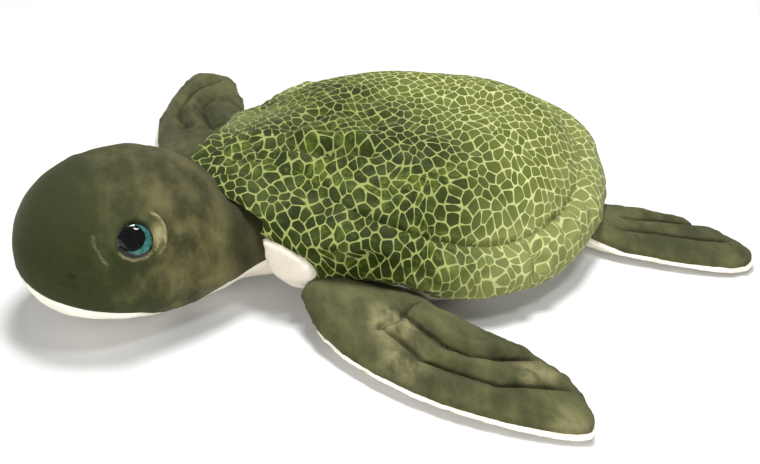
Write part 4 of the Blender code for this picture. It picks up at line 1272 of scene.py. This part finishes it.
# %% The olive plush
def olive_plush(name, dark, light, contrast, front=None, wear_and_highlight=()):
    """Plain olive plush in darker and lighter strokes.

    The front colours colour the snout, and each pale spot is a place and a reach: on the flippers the pile
    lies flat and pale there, and on the head's fold the pale patch is a painted highlight.
    """
    finish = Finish(name, **PLUSH)
    body = finish.place()
    strokes = finish.noise(finish.stretched(body, (1.0, 1.6, 1.0), (0.0, 0.3, 0.7)), 30.0, 4.0, 0.62)
    blotches = finish.noise(body, 13.0, 3.0, 0.55)
    fine = finish.noise(body, 240.0, 2.0, 0.6)
    amount = (strokes * 0.75 + blotches * 0.60 + fine * 0.12).smooth(0.76 - contrast, 0.76 + contrast)
    colour = finish.mix(amount, dark, light)
    x, y, z = finish.split(body)
    if front is not None:
        snout = 1 - (y + (strokes - 0.5) * 0.08).smooth(-0.385, -0.295)
        colour = finish.mix(snout, colour, finish.mix(fine, *front))
        # Painted shade: the head darkened towards its top.
        colour = finish.mix(z.smooth(0.09, 0.14) * 0.35, colour, paint(48, 49, 28))
        # Painted shade on the neck, under the shell's collar.
        collar_shade = (y + (strokes - 0.5) * 0.03).smooth(-0.275, -0.240)
        colour = finish.mix(collar_shade * 0.6, colour, paint(36, 36, 23))
    # Pale spots: flat pile on the flippers, and a painted highlight on the fold behind the eye.
    for spot, reach in wear_and_highlight:
        close = finish.near_spot(body, spot, reach) * strokes.smooth(0.30, 0.62)
        if front is None:
            close = close * x.smooth(-0.02, 0.02)
        colour = finish.mix(close * 0.75, colour, paint(142, 136, 98))
    # Painted shade in the flippers' stitched creases.
    colour = finish.mix(finish.stored("stitch_crease_shade", "Fac") * 0.6, colour, paint(32, 32, 19))
    if front is not None:
        # Painted highlight along the folds beside the eye, under its rim and before it.
        colour = finish.mix(finish.stored("painted_highlight_edge", "Fac") * 0.75, colour, paint(160, 152, 112))
    finish.feed("Base Color", colour)
    return finish.bump(pile(finish, body), 0.5, 0.0012).material


# %% The cream plush, the filling and the eyes' plastics
def cream_plush(name):
    """Pale short plush, with painted shade on the belly behind the throat, under the shell's edge."""
    finish = Finish(name, **PLUSH)
    body = finish.place()
    amount = finish.noise(body, 40.0, 4.0, 0.6).smooth(0.3, 0.75)
    colour = finish.mix(amount, paint(219, 212, 195), paint(238, 233, 220))
    x, y, z = finish.split(body)
    # Painted shade on the belly behind the throat, under the shell's edge.
    bib_shade = (y + 0.262).smooth(0.0, 0.02) * (1 - abs(x).smooth(0.115, 0.135))
    finish.feed("Base Color", finish.mix(bib_shade * 0.6, colour, paint(186, 177, 158)))
    return finish.bump(pile(finish, body), 0.4, 0.0010).material


def filling_fibre(name):
    """White polyester fibre."""
    finish = Finish(name, Roughness=0.95, Sheen_Weight=0.2)
    body = finish.place()
    strands = finish.noise(finish.stretched(body, (1.0, 4.0, 1.0), (0.4, 0.2, 0.9)), 120.0, 5.0, 0.7)
    finish.feed("Base Color", finish.mix(strands, paint(222, 222, 218), paint(246, 246, 243)))
    return finish.bump(strands, 0.6, 0.0015).material


def eye_plastic(name, one, two, roughness):
    """Moulded plastic with a faint swirl of colour."""
    finish = Finish(name, Roughness=roughness, Specular_IOR_Level=0.08)
    body = finish.place()
    swirl = finish.noise(body, 260.0, 3.0, 0.6)
    finish.feed("Base Color", finish.mix(swirl.smooth(0.3, 0.7), one, two))
    return finish.material


def clear_plastic(name):
    """Clear moulded plastic."""
    finish = Finish(name, Transmission_Weight=1.0, IOR=1.38)
    body = finish.place()
    finish.feed("Roughness", finish.noise(body, 300.0, 2.0, 0.5) * 0.01)
    return finish.material


# %% Make and give the materials
HEAD_PAINTS = (paint(52, 52, 30), paint(102, 97, 63), 0.21, (paint(35, 41, 17), paint(49, 55, 27)))
FLIPPER_PAINTS = (paint(56, 58, 35), paint(92, 91, 60), 0.24)
CELLS_A_METRE = 104.0
# Where the pile lies flat, and how far round: shoulder, leading edge and tip of the front flipper.
WORN_SPOTS = [((0.212, -0.172, 0.045), 0.034), ((0.252, -0.189, 0.040), 0.034),
              ((0.382, -0.115, 0.030), 0.032), ((0.318, -0.100, 0.030), 0.026)]
finishes = {
    "print": printed_plush("shell_print_cloth", CELLS_A_METRE),
    # The pale spot on the fold behind the eye is a painted highlight.
    "head_plush": olive_plush("head_plush", *HEAD_PAINTS, wear_and_highlight=[(fold_spot, 0.012)]),
    "flipper_plush": olive_plush("flipper_plush", *FLIPPER_PAINTS, wear_and_highlight=WORN_SPOTS),
    "cream": cream_plush("cream_plush_cloth"),
    "fibre": filling_fibre("filling_fibre"),
    "clear": clear_plastic("clear_eye_plastic"),
    "teal": eye_plastic("teal_eye_plastic", paint(28, 92, 92), paint(84, 158, 150), 0.25),
    "black": eye_plastic("black_eye_plastic", paint(5, 7, 8), paint(10, 12, 13), 0.12),
    "white": eye_plastic("washer_plastic", paint(226, 226, 222), paint(240, 240, 236), 0.4)}


def give(piece, finish):
    """Give a piece its one material."""
    piece.data.materials.clear()
    piece.data.materials.append(finishes[finish])


for name, piece in cloths.items():
    if name in ("shell_top_cloth", "shell_rim_cloth"):
        give(piece, "print")
    elif name in ("belly_cloth", "chin_cloth") or "_under_" in name:
        give(piece, "cream")
    elif name.startswith(("head", "eyelid")):
        give(piece, "head_plush")
    else:
        give(piece, "flipper_plush")
for piece in (body_filling, head_filling, *limb_fillings.values()):
    give(piece, "fibre")
for side in eyes:
    give(eye_pieces["eye_dome_" + side], "clear")
    give(eye_pieces["eye_ring_" + side], "teal")
    give(eye_pieces["eye_black_" + side], "black")
    frame["nodes"]["eye_washer_" + side].material_slots[0].material = finishes["white"]
print(len(finishes), "materials")

# %% [markdown]
# ## How the pieces move
#
# The neck and the flippers have no hard hinge: the fabric bends. Here the shell's panels and filling
# ride on the torso, and the eyelids and the hard eyes on the head; the head's and the flippers' panels
# and fillings have their transforms made part of their meshes.

# %% Ride the shell's and the eyes' pieces on their bodies, and bake the rest
BEFORE_HINGE = {"front": 0.004, "rear": 0.012}
AFTER_HINGE = {"front": 0.030, "rear": 0.020}
for name in ("shell_top_cloth", "shell_rim_cloth", "belly_cloth"):
    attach(cloths[name], "torso")
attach(body_filling, "torso")
for piece in (cloths["head_cloth"], cloths["chin_cloth"], head_filling):
    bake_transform(piece)
for piece in (cloths["eyelid_cloth_left"], cloths["eyelid_cloth_right"], *eye_pieces.values()):
    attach(piece, "head")


def blend_span(limb):
    """Two points in plan, before and after a flipper's hinge, on a line through it."""
    hinge = hinge_of(limb)
    if limb.startswith("front"):
        # This line leans to the rear.
        way = Vector((hinge["axis"][1], hinge["axis"][0], 0)).normalized()
        way *= math.copysign(1, way.x * side_of(limb))
    else:
        way = Vector((*rear_way(limb), 0))
    place, kind = Vector(hinge["pos_m"]), limb.split("_")[0]
    return place - way * BEFORE_HINGE[kind], place + way * AFTER_HINGE[kind]


for limb in LIMBS:
    start, end = blend_span(limb)
    for piece in (cloths[limb + "_upper_cloth"], cloths[limb + "_under_cloth"], limb_fillings[limb]):
        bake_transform(piece)

# %% [markdown]
# ## What each piece stands for
#
# Every new piece hides the solids of the frame that it replaces. The head is firm, the shell and the
# flippers are slack.

# %% Hide what is replaced
STANDS_FOR = {
    "shell_top_cloth": ["shell_top_panel"], "shell_rim_cloth": ["shell_rim_band"],
    "belly_cloth": ["belly_panel"], "head_cloth": ["head_skin"], "chin_cloth": ["chin_panel"],
    "eyelid_cloth_left": ["eyelid_patch_left"], "eyelid_cloth_right": ["eyelid_patch_right"]}
for limb in LIMBS:
    STANDS_FOR[limb + "_upper_cloth"] = [limb + "_upper_panel"]
    STANDS_FOR[limb + "_under_cloth"] = [limb + "_under_panel"]
for name, nodes in STANDS_FOR.items():
    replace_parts(cloths[name], *nodes)
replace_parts(body_filling, "body_stuffing")
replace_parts(head_filling, "head_stuffing")
for limb, piece in limb_fillings.items():
    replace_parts(piece, limb + "_stuffing")
for side in eyes:
    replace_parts(eye_pieces["eye_dome_" + side], "eye_lens_" + side)
    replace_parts(eye_pieces["eye_ring_" + side], "eye_iris_" + side)
    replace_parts(eye_pieces["eye_black_" + side], "eye_pupil_" + side)
print(len(STANDS_FOR), "panels stand for their solids")

# %% [markdown]
# ## Floor and light
#
# The floor is a wide pale sheet. A big soft lamp hangs above and behind the turtle, and two weaker
# ones fill the shadows, as in a small studio.

# %% Make the floor and the lamps
bpy.ops.object.select_all(action="DESELECT")
bpy.ops.mesh.primitive_plane_add(size=12.0, location=(0, 0, -0.0008))
floor = bpy.context.object
floor.name = "studio_floor"
floor_finish = Finish("studio_floor_paint", Roughness=0.9, Specular_IOR_Level=0.1)
floor_spots = floor_finish.noise(floor_finish.place(), 3.0, 2.0, 0.5)
floor_finish.feed("Base Color", floor_finish.mix(floor_spots, paint(216, 216, 216), paint(221, 221, 221)))
floor.data.materials.append(floor_finish.material)


def soft_lamp(name, place, target, size, power):
    """A square area lamp that points at a spot."""
    data = bpy.data.lights.new(name, "AREA")
    data.size = size
    data.energy = power
    lamp = bpy.data.objects.new(name, data)
    bpy.context.collection.objects.link(lamp)
    lamp.location = place
    lamp.rotation_euler = (Vector(target) - Vector(place)).to_track_quat("-Z", "Y").to_euler()
    return lamp


soft_lamp("lamp_above", (-0.14, 0.12, 1.9), (0, -0.05, 0.05), 0.55, 42.0)
front_lamp = soft_lamp("lamp_front", (1.7, -1.3, 0.5), (0, -0.1, 0.06), 1.0, 34.0)
front_lamp.visible_glossy = False      # the eyes don't mirror it
soft_lamp("lamp_side", (-1.2, -1.6, 1.2), (0, -0.1, 0.05), 1.2, 6.0)
soft_lamp("lamp_glint", (0.62, 0.17, 1.52), (0.09, -0.35, 0.11), 0.30, 7.0)

ROOM_LIGHT = 0.25
world = bpy.data.worlds.new("pale_room")
world.use_nodes = True
background = world.node_tree.nodes["Background"]
background.inputs["Color"].default_value = (1.0, 1.0, 1.0, 1.0)
background.inputs["Strength"].default_value = ROOM_LIGHT
bpy.context.scene.world = world
bpy.context.scene.view_settings.view_transform = "Standard"
print("floor and lamps ready")
